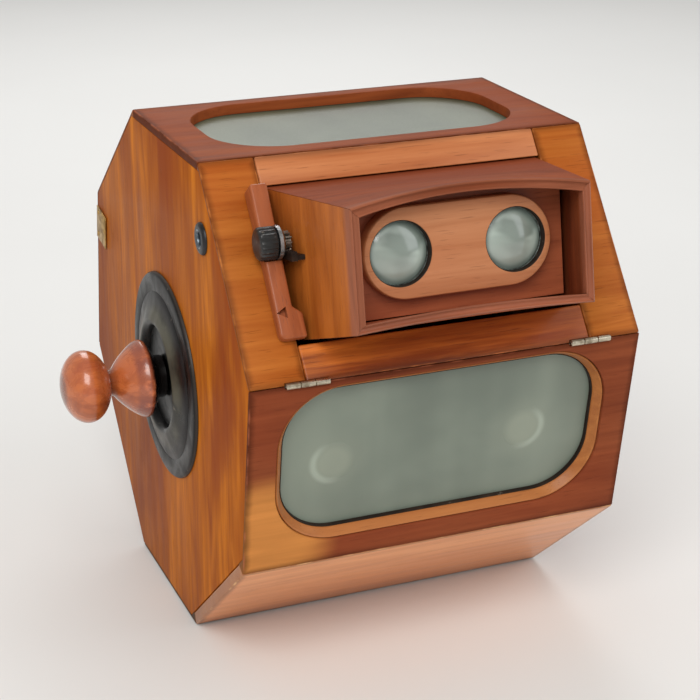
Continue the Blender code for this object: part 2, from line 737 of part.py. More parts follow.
def make_holder(k):
    """A thin frame with a slot for a card, open at its outer edge, seen from both faces."""
    name = f"card_holder_{k + 1}"
    matrix = reel_frame() @ Matrix.Rotation(-2 * pi * k / HOLDERS, 4, 'Z')
    half = HOLDER_THICKNESS / 2
    holder = box(name, matrix, (-half, half), (HOLDER_INNER, HOLDER_OUTER), (-HOLDER_HALF, HOLDER_HALF),
                 "tinplate", "reel_axis")
    slot = box(name + "_slot", matrix, (-CARD_SLOT / 2, CARD_SLOT / 2),
               (HOLDER_INNER + 0.002, HOLDER_OUTER + PAST), (-CARD_HALF, CARD_HALF))
    window = box(name + "_window", matrix, (-half - PAST, half + PAST),
                 (HOLDER_INNER + CARD_WINDOW_START, HOLDER_OUTER + PAST / 2),
                 (-CARD_WINDOW_HALF, CARD_WINDOW_HALF))
    cut(holder, slot, window)


# ---- Eyepiece ----
def hood_half_width(a):
    return RIM_HALF_WIDTH + SIDE_TAPER * (RIM - a)


def hood_top(a):
    return RIM_TOP + TOP_TAPER * (RIM - a)


def hood_bottom(a):
    return RIM_BOTTOM - BOTTOM_TAPER * (RIM - a)


def hood_back(u):
    """Where the hood's back edge lies along the lens axis, at height u."""
    face = face_frame("B", "C")
    inward = face.to_3x3().col[2]
    eye = eyepiece_frame()
    start = (eye.translation - face.translation).dot(inward)
    up, out = eye.to_3x3().col[1], eye.to_3x3().col[2]
    return (HOOD_DEPTH_INSIDE - start - u * up.dot(inward)) / out.dot(inward)


def hood_back_on(edge):
    """Where the back edge of the hood's top or bottom lies along the lens axis."""
    a = 0.0
    for _ in range(8):
        a = hood_back(edge(a))
    return a


def make_hood_panel(name, edge, thickness_side, arch, recess):
    """Top or bottom of the hood: straight at the back, arched and hollowed at the rim."""
    back = hood_back_on(edge)
    bm = bmesh.new()
    bmesh.ops.create_grid(bm, x_segments=10, y_segments=3, size=1)
    for vertex in bm.verts:
        across, t = vertex.co.x, (vertex.co.y + 1) / 2
        crown = 1 - across ** 2
        a = back + (RIM - recess * crown - back) * t
        vertex.co = Vector((across * hood_half_width(a), edge(a) + arch * crown * t ** 2, a))
    mesh = bpy.data.meshes.new(name)
    bm.to_mesh(mesh)
    bm.free()
    panel = place(name, mesh, eyepiece_frame(), "hood_wood", "eyepiece_axis")
    solid = panel.modifiers.new("thickness", 'SOLIDIFY')
    solid.thickness = HOOD_WALL
    solid.offset = thickness_side
    soften(panel, 0.0010, 1, 40)
    smooth(panel)


def make_hood_side(side, word):
    gap_top, gap_bottom = GAP, 0.0008

    def point(sx, sy, sz):
        a = RIM
        if sz < 0:
            a = hood_back_on(pick(sy, (hood_bottom, hood_top)))
        u = pick(sy, (hood_bottom(a) + HOOD_WALL + gap_bottom, hood_top(a) - HOOD_WALL - gap_top))
        outer = hood_half_width(a)
        x = pick(sx * side, (outer - HOOD_WALL, outer))
        return side * x, u, a

    panel = shaped_box(f"hood_{word}_side", eyepiece_frame(), "hood_wood", point, "eyepiece_axis")
    soften(panel, 0.0010)


def lens_profile(steps=4):
    """Half section of a lens whose edge is centred on height 0, down its outer side."""
    points = []
    for i in range(steps + 1):
        r = LENS_RADIUS * i / steps
        points.append((r, LENS_EDGE / 2 + LENS_FRONT * (1 - (i / steps) ** 2)))
    for i in range(steps, -1, -1):
        r = LENS_RADIUS * i / steps
        points.append((r, -LENS_EDGE / 2 - LENS_BACK * (1 - (i / steps) ** 2)))
    return points


def plate_outline():
    """Flat at the bottom and sides, arched along the top."""
    bottom, top = LENS_PLATE_UP
    points = [(-LENS_PLATE_HALF, bottom), (LENS_PLATE_HALF, bottom)]
    for i in range(ARCH_STEPS + 1):
        across = 1 - 2 * i / ARCH_STEPS
        points.append((across * LENS_PLATE_HALF, top + LENS_PLATE_ARCH * (1 - across ** 2)))
    return points


def make_eyepiece():
    eye = eyepiece_frame()
    make_hood_panel("hood_top", hood_top, 1, BROW_ARCH, BROW_RECESS)
    make_hood_panel("hood_bottom", hood_bottom, -1, NOSE_ARCH, NOSE_RECESS)
    make_hood_side(-1, "left")
    make_hood_side(1, "right")

    half_height = LENS_BOARD_HEIGHT / 2
    raised = rounded_box("lens_board", eye, (-LENS_BOARD_HALF, LENS_BOARD_HALF),
                         (-half_height, half_height), (-LENS_BOARD, 0), half_height - 0.0001,
                         "pale_wood", "eyepiece_axis", segments=10)
    plate_back = -LENS_BOARD - GAP - LENS_PLATE
    plate = outline("lens_plate", eye, plate_outline(), (plate_back, -LENS_BOARD - GAP), "hood_wood",
                    "eyepiece_axis")
    for side, word in ((-1, "left"), (1, "right")):
        spot = eye @ Matrix.Translation((side * LENS_HALF_SPACING, 0, 0))
        cut(raised, cylinder(word + "_lens_hole", spot, LENS_HOLE, (-LENS_BOARD - PAST, PAST),
                             segments=32))
        cut(plate, cylinder(word + "_plate_hole", spot, LENS_RADIUS - LENS_LIP,
                            (plate_back - PAST, -LENS_BOARD + PAST), segments=32))
        seat = spot @ Matrix.Translation((0, 0, -LENS_BOARD + LENS_EDGE / 2 + GAP))
        turned(word + "_lens", seat, lens_profile(), "lens_glass", "eyepiece_axis", steps=32)
        make_guide(side, word, plate_back)
    soften(raised, 0.0008)
    soften(plate)


def make_guide(side, word, plate_back):
    """A rod behind the lens plate, running in a bracket on the bottom rail."""
    eye = eyepiece_frame()
    spot = eye @ Matrix.Translation((side * ROD_X, ROD_UP, 0))
    cylinder(f"guide_rod_{word}", spot, ROD_RADIUS, (ROD_BACK, plate_back - GAP), "steel",
             "eyepiece_axis", segments=16)
    rail = face_frame("B", "C")
    to_side = side_frame(0).inverted()
    back, front = BRACKET_A
    on_axis = [(BRACKET_LOW_BACK, back), (BRACKET_TOP, back), (BRACKET_TOP, front),
               (BRACKET_LOW_FRONT, front)]
    corners = [eye @ Vector((0, up, a)) for up, a in on_axis]
    corners += [rail @ Vector((0, s, BOARD + GAP)) for s in BRACKET_FOOT]
    points = [tuple((to_side @ point)[:2]) for point in corners]
    x = tuple(sorted((side * (ROD_X - BRACKET_HALF_WIDTH), side * (ROD_X + BRACKET_HALF_WIDTH))))
    bracket = outline(f"guide_bracket_{word}", side_frame(), points, x, "inner_wood")
    bore = cylinder(f"guide_bore_{word}", spot, ROD_RADIUS + BORE_GAP, (back - PAST, front + PAST))
    cut(bracket, bore)


# ---- Focusing drive ----
def gear_outline():
    """Teeth on a circle, thinner than their spaces so that they run free in the rack's."""
    outer = PINION_PITCH_RADIUS + TOOTH_TOP
    root = PINION_PITCH_RADIUS - TOOTH_ROOT
    pitch = 2 * pi / PINION_TEETH
    points = []
    for k in range(PINION_TEETH):
        for radius, share in ((root, -0.24), (outer, -0.11), (outer, 0.11), (root, 0.24)):
            angle = pitch * (k + share) + LENS_TILT
            points.append((radius * sin(angle), radius * cos(angle)))
    return points


def rack_outline():
    """Bar along x with teeth on its upper edge, the pitch line at y = 0."""
    pitch = 2 * pi * PINION_PITCH_RADIUS / PINION_TEETH
    half = RACK_LENGTH / 2
    points = [(-half, -RACK_HEIGHT), (half, -RACK_HEIGHT), (half, -TOOTH_ROOT)]
    for k in range(RACK_TEETH // 2, -(RACK_TEETH // 2) - 1, -1):
        for y, share in ((-TOOTH_ROOT, 0.24), (TOOTH_TOP, 0.11), (TOOTH_TOP, -0.11), (-TOOTH_ROOT, -0.24)):
            points.append(((k + 0.5 + share) * pitch, y))
    points.append((-half, -TOOTH_ROOT))
    return points


def make_focus_block():
    (x0, x1), (s0, s1) = BLOCK_X, BLOCK_S
    foot = s1 - FOOT_LENGTH
    chamfer = 0.002
    shape = [(x0, s0), (x1, s0), (x1, foot), (FOOT_X, foot + FOOT_SLOPE), (FOOT_X, s1),
             (x0 + chamfer, s1), (x0, s1 - chamfer)]
    matrix = face_frame("B", "C")
    block = outline("focus_block", matrix, shape, (-BLOCK_HEIGHT[0], -GAP), "hood_wood")
    for vertex in block.data.vertices:
        if vertex.co.z < -BLOCK_HEIGHT[0] / 2:
            t = (vertex.co.y - s0) / (s1 - s0)
            vertex.co.z = -(BLOCK_HEIGHT[0] + (BLOCK_HEIGHT[1] - BLOCK_HEIGHT[0]) * t)
    soften(block, 0.0008)
    cut(block, cylinder("focus_notch", focus_frame(), NOTCH_RADIUS, (x0 - PAST, x1 + PAST)))
    hole = matrix @ Matrix.Translation((*KEYHOLE, 0)) @ Matrix.Rotation(pi / 2, 4, 'Z')
    cut(block, cylinder("focus_keyhole", hole, KEYHOLE_RADIUS, (-BLOCK_HEIGHT[0], -0.0035), segments=3))


def make_focus_drive():
    shaft_frame = focus_frame()
    bore = SHAFT_RADIUS + BORE_GAP
    inner = BLOCK_X[1] - 0.0002
    outer = inner - BEARING
    chamfer = 0.0011
    turned("focus_bearing", shaft_frame,
           [(bore, inner), (BEARING_RADIUS - chamfer, inner), (BEARING_RADIUS, inner - chamfer),
            (BEARING_RADIUS, outer), (bore, outer)], "steel", steps=24, ring=True)
    right = outer - GAP
    left = FOCUS_KNOB_LEFT
    floor = left + FOCUS_KNOB_BORE
    radius = FOCUS_KNOB_RADIUS
    turned("focus_knob", shaft_frame,
           [(0, floor), (bore, floor), (bore, right), (radius - chamfer, right),
            (radius, right - chamfer), (radius, left + chamfer), (radius - chamfer, left), (0, left)],
           "black_iron", "focus_axis", steps=24)
    pinion = outline("focus_pinion", shaft_frame, gear_outline(), PINION_X, "steel", "focus_axis")
    shaft = cylinder("focus_shaft", shaft_frame, SHAFT_RADIUS, (floor + BORE_GAP, sum(PINION_X) / 2),
                     segments=16)
    boolean(pinion, shaft, 'UNION')


def make_rack():
    """Toothed bar on the hood's left side, below the pinion, with a packing wedge."""
    eye = eyepiece_frame()
    shaft = eye.inverted() @ focus_frame().translation
    pitch_up = shaft.y - PINION_PITCH_RADIUS
    bar = Matrix.Translation((0, pitch_up, shaft.z)) @ Matrix.Rotation(-pi / 2, 4, 'Y')
    rack = outline("focus_rack", eye @ bar, rack_outline(), (-PINION_X[1], -PINION_X[0]), "brass",
                   "eyepiece_axis")
    reach = RACK_LENGTH / 2 - 0.001

    def point(sx, sy, sz):
        a = shaft.z + pick(sz, (-reach, reach))
        x = pick(sx, (PINION_X[1] - 0.001, -hood_half_width(a) - GAP))
        return x, pitch_up + pick(sy, (GAP - RACK_HEIGHT, -TOOTH_ROOT - GAP)), a

    boolean(rack, shaped_box("rack_packing", eye, None, point), 'UNION')


make_end_panel(-1, "left_end_panel", [make_eyelet()])
make_end_panel(1, "right_end_panel")
make_top()
make_upper_front()
make_plain_boards()
make_door("front", "C", "D", "front_door_axis")
make_door("back", "G", "H", "back_door_axis")
for fitting_side, fitting_word in ((-1, "left"), (1, "right")):
    make_side_fittings(fitting_side, fitting_word)
make_catch_plate()
make_reel()
make_eyepiece()
make_focus_block()
make_focus_drive()
make_rack()
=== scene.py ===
"""Looks of the tabletop revolving stereo viewer: finer pieces and procedural materials
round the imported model, a pale floor, soft studio light and the camera."""

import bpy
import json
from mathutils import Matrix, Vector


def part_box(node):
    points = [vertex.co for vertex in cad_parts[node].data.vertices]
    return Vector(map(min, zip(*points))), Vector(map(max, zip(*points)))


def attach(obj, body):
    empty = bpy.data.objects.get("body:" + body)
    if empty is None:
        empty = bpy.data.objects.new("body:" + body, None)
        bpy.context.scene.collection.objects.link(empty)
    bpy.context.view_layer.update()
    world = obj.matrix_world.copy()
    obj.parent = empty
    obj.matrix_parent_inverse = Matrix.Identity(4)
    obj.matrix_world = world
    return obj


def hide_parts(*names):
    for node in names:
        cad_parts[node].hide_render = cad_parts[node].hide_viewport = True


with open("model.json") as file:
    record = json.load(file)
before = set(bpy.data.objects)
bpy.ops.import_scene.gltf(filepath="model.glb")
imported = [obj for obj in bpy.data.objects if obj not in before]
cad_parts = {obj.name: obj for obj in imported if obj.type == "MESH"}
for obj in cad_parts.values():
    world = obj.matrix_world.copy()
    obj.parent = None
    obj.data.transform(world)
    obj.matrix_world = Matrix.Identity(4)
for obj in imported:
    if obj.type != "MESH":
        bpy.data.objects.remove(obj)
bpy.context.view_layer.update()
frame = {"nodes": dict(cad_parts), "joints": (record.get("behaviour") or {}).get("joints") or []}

import json
from math import asin, cos, pi, radians, sin, tan

import bmesh
import bpy
from mathutils import Matrix, Vector

# ---- Sizes, in metres, as the model has them ----
AXLE_HEIGHT = next(j["pos_m"][2] for j in frame["joints"] if j["name"] == "reel_turn")
HALF_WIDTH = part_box("bottom_board")[1].x
FULL_WIDTH = (-HALF_WIDTH, HALF_WIDTH)
BOARD = 0.007
BOARD_ARRIS = 0.001
END_BOARD = 0.012
END_ARRIS = 0.0004
GAP = 0.0003
CORNERS = {
    "A": (0.0514, 0.1476), "B": (-0.0741, 0.1476), "C": (-0.1514, 0.0473), "D": (-0.1333, -0.0664),
    "E": (-0.0418, -0.1454), "F": (0.0704, -0.1454), "G": (0.1649, -0.0383), "H": (0.1469, 0.0723),
}
CORNER_ORDER = "ABCDEFGH"
FLANGE = 0.004
FLANGE_INSET = 0.0019
FLANGE_INSETS = {"A": 0.0048, "D": BOARD + 0.0005}
PLUG_STEP = 0.0015
OPENING_HALF = 0.0825
TOP_RAIL = 0.0174
BOTTOM_RAIL_START = 0.1058
TOP_WINDOW_HALF = 0.091
TOP_WINDOW_BACK = 0.0105
TOP_WINDOW_FRONT = 0.0145
TOP_REBATE = 0.0035
TOP_LEDGE = 0.006
WINDOW_RADIUS = 0.038
WINDOW_SEGMENTS = 16
GLASS = 0.002
DOOR_X = (-0.0966, 0.0966)
DOOR_MARGIN = 0.0045
DOOR_FREE_MARGIN = 0.0133
DOOR_RADIUS = 0.036
BEAD_BACK = 0.0087
HINGE_X = 0.082
HINGE_PROUD = 0.0008
HINGE_HALF = 0.012
KNUCKLE_HALF = 0.004
KNUCKLE_RADIUS = 0.0017
PIN_RADIUS = 0.00075
AXLE_BORE = 0.0044
EYELET = (-0.079, 0.1072)
EYELET_BORE = 0.0069
FOCUS_AXIS = (0.0534, -0.0125)
LENS_POINT = (-0.1558, 0.1121)
LENS_TILT = radians(10)
LENS_HALF_SPACING = 0.0324
LENS_RADIUS = 0.0164
LENS_HOLE = 0.0172
LENS_BOARD = 0.008
LENS_BOARD_HALF = (0.053, 0.024)
LENS_SEAT = 0.0013
RIM = 0.02
HOOD_WALL = 0.005
HOOD_SEAT = 0.009
HOOD_HALF_WIDTH = 0.0666
HOOD_FLARE = 0.16
HOOD_TOP_EDGE = 0.0286
HOOD_TOP_RISE = 0.0484
HOOD_LOW_EDGE = -0.0346
HOOD_LOW_DROP = 0.18
RIGHT, BACK, UP = Vector((1, 0, 0)), Vector((0, 1, 0)), Vector((0, 0, 1))
SIDES = ((-1, "left"), (1, "right"))


# ---- Frames of reference ----
def axes_matrix(origin, x_axis, y_axis, z_axis):
    matrix = Matrix((x_axis, y_axis, z_axis)).transposed().to_4x4()
    matrix.translation = origin
    return matrix


def corner(name):
    y, z = CORNERS[name]
    return Vector((0, y, AXLE_HEIGHT + z))


def along(a, b):
    return (corner(b) - corner(a)).normalized()


def face_length(a, b):
    return (corner(b) - corner(a)).length


def face_frame(a, b):
    """x across the case, y from corner a to corner b, z into the case."""
    step = along(a, b)
    return axes_matrix(corner(a), RIGHT, step, RIGHT.cross(step))


def neighbour(name, step):
    return CORNER_ORDER[(CORNER_ORDER.index(name) + step) % len(CORNER_ORDER)]


def corner_normals(name):
    """Inward normals of the two faces that meet at a corner."""
    return [RIGHT.cross(along(a, b)) for a, b in ((neighbour(name, -1), name), (name, neighbour(name, 1)))]


def mitre_slope(name):
    before, after = corner_normals(name)
    return tan(before.angle(after) / 2)


def side_frame():
    """x backwards, y upwards, z to the right, on the axle."""
    return axes_matrix(AXLE_HEIGHT * UP, BACK, UP, RIGHT)


def outward_frame(side, y=0.0, z=0.0):
    """z out of the end panel on that side, from the panel's outer face."""
    out = RIGHT * side
    return axes_matrix(Vector((side * HALF_WIDTH, y, AXLE_HEIGHT + z)), UP, out.cross(UP), out)


def eyepiece_frame():
    """x across, y up the lens board, z along the lens axis towards the eyes."""
    out = Vector((0, -cos(LENS_TILT), sin(LENS_TILT)))
    up = Vector((0, sin(LENS_TILT), cos(LENS_TILT)))
    y, z = LENS_POINT
    return axes_matrix(Vector((0, y, AXLE_HEIGHT + z)), RIGHT, up, out)


def hinge_frame(name, x=0.0):
    """x along the pin, y into the mitre between the two boards at this corner."""
    before, after = corner_normals(name)
    inward = (before + after).normalized()
    return axes_matrix(corner(name) - inward * HINGE_PROUD + RIGHT * x, RIGHT, inward, RIGHT.cross(inward))


def focus_frame():
    origin = face_frame("B", "C") @ Vector((0, *FOCUS_AXIS))
    return axes_matrix(origin, BACK, UP, RIGHT)


# ---- Materials ----
def srgb(red, green, blue):
    """Display values from 0 to 255 as scene linear colour."""
    def linear(value):
        value /= 255
        return value / 12.92 if value <= 0.04045 else ((value + 0.055) / 1.055) ** 2.4
    return (linear(red), linear(green), linear(blue), 1)


def shaded(colour, factor, lift=0.0):
    """A colour made darker or lighter, no channel above 1."""
    return tuple(min(1, value * factor + lift) for value in colour[:3]) + (1,)


class Shader:
    """Short ways to add and join nodes in one material."""

    def __init__(self, name):
        self.material = bpy.data.materials.new(name)
        self.material.use_nodes = True
        tree = self.material.node_tree
        self.nodes, self.links = tree.nodes, tree.links
        self.surface = self.nodes["Principled BSDF"]
        self.object_coords = self.add("TexCoord", {}, "Object")

    def put(self, socket, value):
        if isinstance(value, bpy.types.NodeSocket):
            self.links.new(value, socket)
        else:
            socket.default_value = value

    def add(self, kind, inputs, output, **settings):
        """Add a node, set or join its inputs, and give back one of its outputs."""
        node = self.nodes.new("ShaderNode" + kind)
        for key, value in settings.items():
            setattr(node, key, value)
        for key, value in inputs.items():
            self.put(node.inputs[key], value)
        return node.outputs[output]

    def set(self, **inputs):
        """Set or join the surface's inputs and give back the material."""
        for key, value in inputs.items():
            self.put(self.surface.inputs[key.replace("_", " ")], value)
        return self.material

    def math(self, operation, a, b=0.0):
        return self.add("Math", {0: a, 1: b}, 0, operation=operation)

    def plus(self, a, b):
        return self.math('ADD', a, b)

    def minus(self, a, b):
        return self.math('SUBTRACT', a, b)

    def times(self, a, b):
        return self.math('MULTIPLY', a, b)

    def length(self, x, y):
        return self.math('SQRT', self.plus(self.times(x, x), self.times(y, y)))

    def noise(self, scale, detail=3.0, roughness=0.55, distortion=0.0, stretch=(1, 1, 1), shift=(0, 0, 0)):
        vector = self.add("Mapping", {"Location": shift, "Scale": stretch, "Vector": self.object_coords}, 0)
        return self.add("TexNoise", {"Vector": vector, "Scale": scale, "Detail": detail,
                                     "Roughness": roughness, "Distortion": distortion}, "Fac")

    def remap(self, value, low, high, to_low=0, to_high=1, kind='LINEAR'):
        return self.add("MapRange", {"Value": value, "From Min": low, "From Max": high,
                                     "To Min": to_low, "To Max": to_high}, "Result", interpolation_type=kind)

    def smooth(self, *spans):
        return self.remap(*spans, kind='SMOOTHSTEP')

    def mix(self, factor, a, b):
        return self.add("Mix", {"Factor": factor, "A": a, "B": b}, "Result", data_type='RGBA')

    def tint(self, factor, colour):
        self.colour = self.mix(factor, self.colour, colour)

    def bump(self, height, distance, strength):
        return self.add("Bump", {"Distance": distance, "Strength": strength, "Height": height}, "Normal")

    def axes(self):
        return self.add("SeparateXYZ", {0: self.object_coords}, 0).node.outputs

    def edge_distance(self, spans):
        """Distance to the nearest border of a box; spans maps an axis to its (low, high)."""
        xyz = self.axes()
        nearest = None
        for axis, (low, high) in spans.items():
            centred = self.math('ABSOLUTE', self.minus(xyz[axis], (low + high) / 2))
            inside = self.minus((high - low) / 2, centred)
            nearest = inside if nearest is None else self.math('MINIMUM', nearest, inside)
        return nearest


def grain_scale(axis, stretch):
    return tuple(stretch if name == axis else 1.0 for name in "XYZ")


def wood(name, tones, grain="X", seed=0.0, edges=None, roughness=0.36, figure=0.55, contrast=1.0,
         patch=None, coat=0.08, specular=0.22, rim=None):
    """Polished wood with broad figure, streaks, fibres and pores along the grain.

    edges gives the board's borders, which are dirty and worn; patch is a lighter area as
    (centre, radius, colour); rim is the colour of a hood wall's moulded rim.
    """
    s = Shader(name)
    light, dark, warm = (srgb(*tone) for tone in tones)
    shift = (seed, seed * 0.37, seed * 0.71)

    def grained(stretch, *settings):
        return s.noise(*settings, stretch=grain_scale(grain, stretch), shift=shift)

    broad = grained(0.3, 16, 3, 0.5, 0.6)
    streaks = grained(0.06, 95, 4, 0.62, 0.25)
    fibres = grained(0.035, 620, 3, 0.6)
    pores = grained(0.045, 1500, 1, 0.5)
    rings = grained(0.1, 34, 2, 0.5, 1.1)
    band = s.math('PINGPONG', s.times(rings, 9.0), 1.0)
    tone = s.plus(s.times(streaks, 0.62), s.times(band, 0.16))
    tone = s.plus(tone, s.times(fibres, 0.22))
    tone = s.remap(tone, 0.5 - 0.24 / contrast, 0.5 + 0.24 / contrast)
    s.colour = s.mix(tone, dark, light)
    s.tint(s.smooth(broad, 0.4, 0.66, 0, figure), warm)
    pore_mask = s.smooth(pores, 0.64, 0.74, 0, 0.35)
    s.tint(pore_mask, shaded(dark, 0.35))
    if patch:
        centre, radius, patch_colour = patch
        xyz = s.axes()
        reach = None
        for axis, middle in zip("XYZ", centre):
            away = s.times(s.minus(xyz[axis], middle), 1 / radius)
            square = s.times(away, away)
            reach = square if reach is None else s.plus(reach, square)
        wobble = s.times(s.minus(broad, 0.5), 1.2)
        mask = s.smooth(s.plus(reach, wobble), 0.35, 1.25, 0.85, 0)
        s.tint(mask, s.mix(tone, shaded(patch_colour, 0.75), patch_colour))
    if rim:
        along_axis = s.plus(s.axes()[2], s.times(s.minus(broad, 0.5), 0.004))
        band = s.smooth(along_axis, RIM - 0.0085, RIM - 0.004, 0, 0.9)
        s.tint(band, s.mix(tone, shaded(rim, 0.55), rim))
    rough = s.remap(s.plus(streaks, s.times(broad, 0.6)), 0.5, 1.1, roughness - 0.07, roughness + 0.1)
    if edges:
        distance = s.edge_distance(edges)
        ragged = s.plus(distance, s.times(s.minus(streaks, 0.5), 0.0035))
        grime = s.smooth(ragged, 0, 0.0046, 0.62, 0)
        s.tint(grime, shaded(dark, 0.3))
        wear = s.noise(60, 3, shift=shift)
        arris = s.times(s.remap(distance, 0.0003, 0.0011, 1, 0), s.remap(distance, 0, 0.0002))
        rub = s.times(arris, s.remap(wear, 0.48, 0.62, 0, 0.55))
        s.tint(rub, shaded(light, 1.5, 0.03))
    height = s.plus(s.times(fibres, 0.5), s.times(streaks, 0.6))
    height = s.minus(height, s.times(pore_mask, 1.4))
    s.set(Base_Color=s.colour, Roughness=rough, Normal=s.bump(height, 0.00018, 0.55))
    return s.set(Coat_Weight=coat, Coat_Roughness=0.22, Specular_IOR_Level=specular)


def turned_wood(name, tones):
    """Glossy turned wood: grain along z, fine lathe rings, painted shade in the hollow neck and a painted
    near-black shadow on the back of the saucer and the foot.
    """
    s = Shader(name)
    light, dark, warm = (srgb(*tone) for tone in tones)
    streaks = s.noise(120, 4, 0.6, 0.4, grain_scale("Z", 0.1))
    broad = s.noise(34, 2, 0.5, 0.8, grain_scale("Z", 0.5))
    fibres = s.noise(800, 2, 0.6, 0.0, grain_scale("Z", 0.05))
    s.colour = s.mix(s.remap(streaks, 0.24, 0.6), dark, light)
    s.tint(s.smooth(broad, 0.42, 0.64, 0, 0.4), warm)
    xyz = s.axes()
    radius = s.length(xyz[0], xyz[1])
    # Painted shade: the hollow neck between ball and saucer is darkened as if in shadow.
    neck = s.smooth(radius, 0.007, 0.011, 0.55, 0)
    s.tint(neck, shaded(dark, 0.3))
    band = s.times(s.smooth(xyz[2], 0.0205, 0.0235, 0.75, 0), s.remap(broad, 0.35, 0.6, 0.6, 1))
    s.tint(band, srgb(122, 60, 50))
    # Painted shadow: the back of the saucer and the foot, facing the escutcheon, go near-black.
    saucer_shadow = s.smooth(xyz[2], 0.012, 0.015, 1, 0)
    s.tint(saucer_shadow, srgb(16, 12, 11))
    wear = s.noise(140, 4)
    rub = s.times(s.remap(radius, 0.0205, 0.0226), s.remap(wear, 0.5, 0.66, 0, 0.65))
    s.tint(rub, shaded(light, 1.7, 0.04))
    lathe = s.math('SINE', s.times(xyz[2], 2 * pi / 0.0008))
    height = s.plus(s.times(lathe, 0.12), fibres)
    s.set(Base_Color=s.colour, Roughness=s.remap(streaks, 0.3, 0.7, 0.2, 0.32),
          Normal=s.bump(height, 0.00008, 0.5))
    return s.set(Coat_Weight=0.6, Coat_Roughness=0.09)


def black_metal(name, base, worn, ring=False, roughness=0.34, specular=0.3):
    """Black japanned metal with dusty smears and small chips; ring adds the escutcheon's crest, grey partly
    from dusty mottling and partly as a painted highlight, a painted black shadow in its middle recess and a
    worn outer edge.
    """
    s = Shader(name)
    smear = s.noise(55, 4, 0.6, 0.8)
    speck = s.noise(900, 2, 0.6)
    s.colour = s.mix(s.smooth(smear, 0.42, 0.68), srgb(*base), srgb(*worn))
    chips = s.remap(s.noise(240, 3, 0.7), 0.66, 0.7, 0, 0.5)
    s.tint(chips, srgb(120, 112, 100))
    if ring:
        xyz = s.axes()
        radius = s.length(xyz[0], xyz[1])
        # The crest's grey is partly dusty mottling and partly a painted highlight along the ring's crest.
        crest = s.times(s.smooth(radius, 0.031, 0.0345), s.smooth(radius, 0.038, 0.047, 1, 0))
        dust_and_sheen = s.remap(s.noise(46, 3), 0.38, 0.62, 0.25, 1)
        s.tint(s.times(crest, dust_and_sheen), srgb(84, 82, 70))
        # Painted shadow: the recess in the ring's middle is painted black.
        recess = s.smooth(radius, 0.029, 0.0305, 1, 0)
        s.tint(recess, srgb(4, 4, 4))
        rim = s.remap(radius, 0.0606, 0.0613, 0, 0.5)
        s.tint(rim, srgb(74, 66, 58))
    rough = s.remap(smear, 0.35, 0.7, roughness - 0.08, roughness + 0.16)
    s.set(Base_Color=s.colour, Roughness=rough, Normal=s.bump(s.plus(speck, smear), 0.00006, 0.6))
    return s.set(Specular_IOR_Level=specular, Coat_Weight=0.06, Coat_Roughness=0.22)


def bare_metal(name, bright, dull, grain="X", roughness=0.3):
    """Brushed and tarnished bare metal."""
    s = Shader(name)
    dull = srgb(*dull)
    brushed = s.noise(1600, 2, 0.6, 0.0, grain_scale(grain, 0.02))
    tarnish = s.noise(130, 4, 0.6, 0.5)
    s.colour = s.mix(s.smooth(tarnish, 0.4, 0.66), srgb(*bright), dull)
    s.tint(s.remap(brushed, 0.3, 0.7, 0, 0.25), dull)
    rough = s.remap(tarnish, 0.35, 0.7, roughness - 0.05, roughness + 0.22)
    return s.set(Base_Color=s.colour, Metallic=1.0, Roughness=rough, Normal=s.bump(brushed, 0.00004, 0.6))


def ground_glass(name, light, dark, spots=(), grey=None):
    """Ground glass: fine sanded surface, cloudy, with soft round marks that each carry a painted highlight
    crescent.
    """
    s = Shader(name)
    cloud = s.noise(11, 3, 0.5, 0.4)
    brushed = s.noise(26, 2, 0.5, 0.2, (1, 0.12, 1))
    grit = s.noise(2600, 2, 0.7)
    tone = s.plus(s.times(cloud, 0.6), s.times(brushed, 0.4))
    s.colour = s.mix(s.smooth(tone, 0.36, 0.64), dark, light)
    xyz = s.axes()
    for x, y, radius in spots:
        dx = s.minus(xyz[0], x)
        dy = s.minus(xyz[1], y)
        away = s.length(dx, dy)
        halo = s.smooth(away, radius * 0.6, radius * 2.2, 0.3, 0)
        s.tint(halo, grey)
        disc = s.smooth(away, radius * 0.55, radius * 1.1, 0.38, 0)
        s.tint(disc, shaded(grey, 1.12))
        ring = s.times(s.smooth(away, radius * 0.72, radius * 0.95),
                      s.smooth(away, radius * 0.98, radius * 1.25, 1, 0))
        # Painted highlight: a bright crescent on each round mark's side away from the middle.
        outward = s.times(dx, 1.0 if x > 0 else -1.0)
        arc = s.smooth(s.plus(outward, s.times(dy, 0.4)), -radius * 0.2, radius, 0, 0.55)
        s.tint(s.times(ring, arc), srgb(168, 178, 164))
    s.set(Base_Color=s.colour, Roughness=s.remap(grit, 0.3, 0.7, 0.36, 0.52),
          Normal=s.bump(grit, 0.00003, 0.7))
    return s.set(Coat_Weight=0.18, Coat_Roughness=0.25, Specular_IOR_Level=0.4)


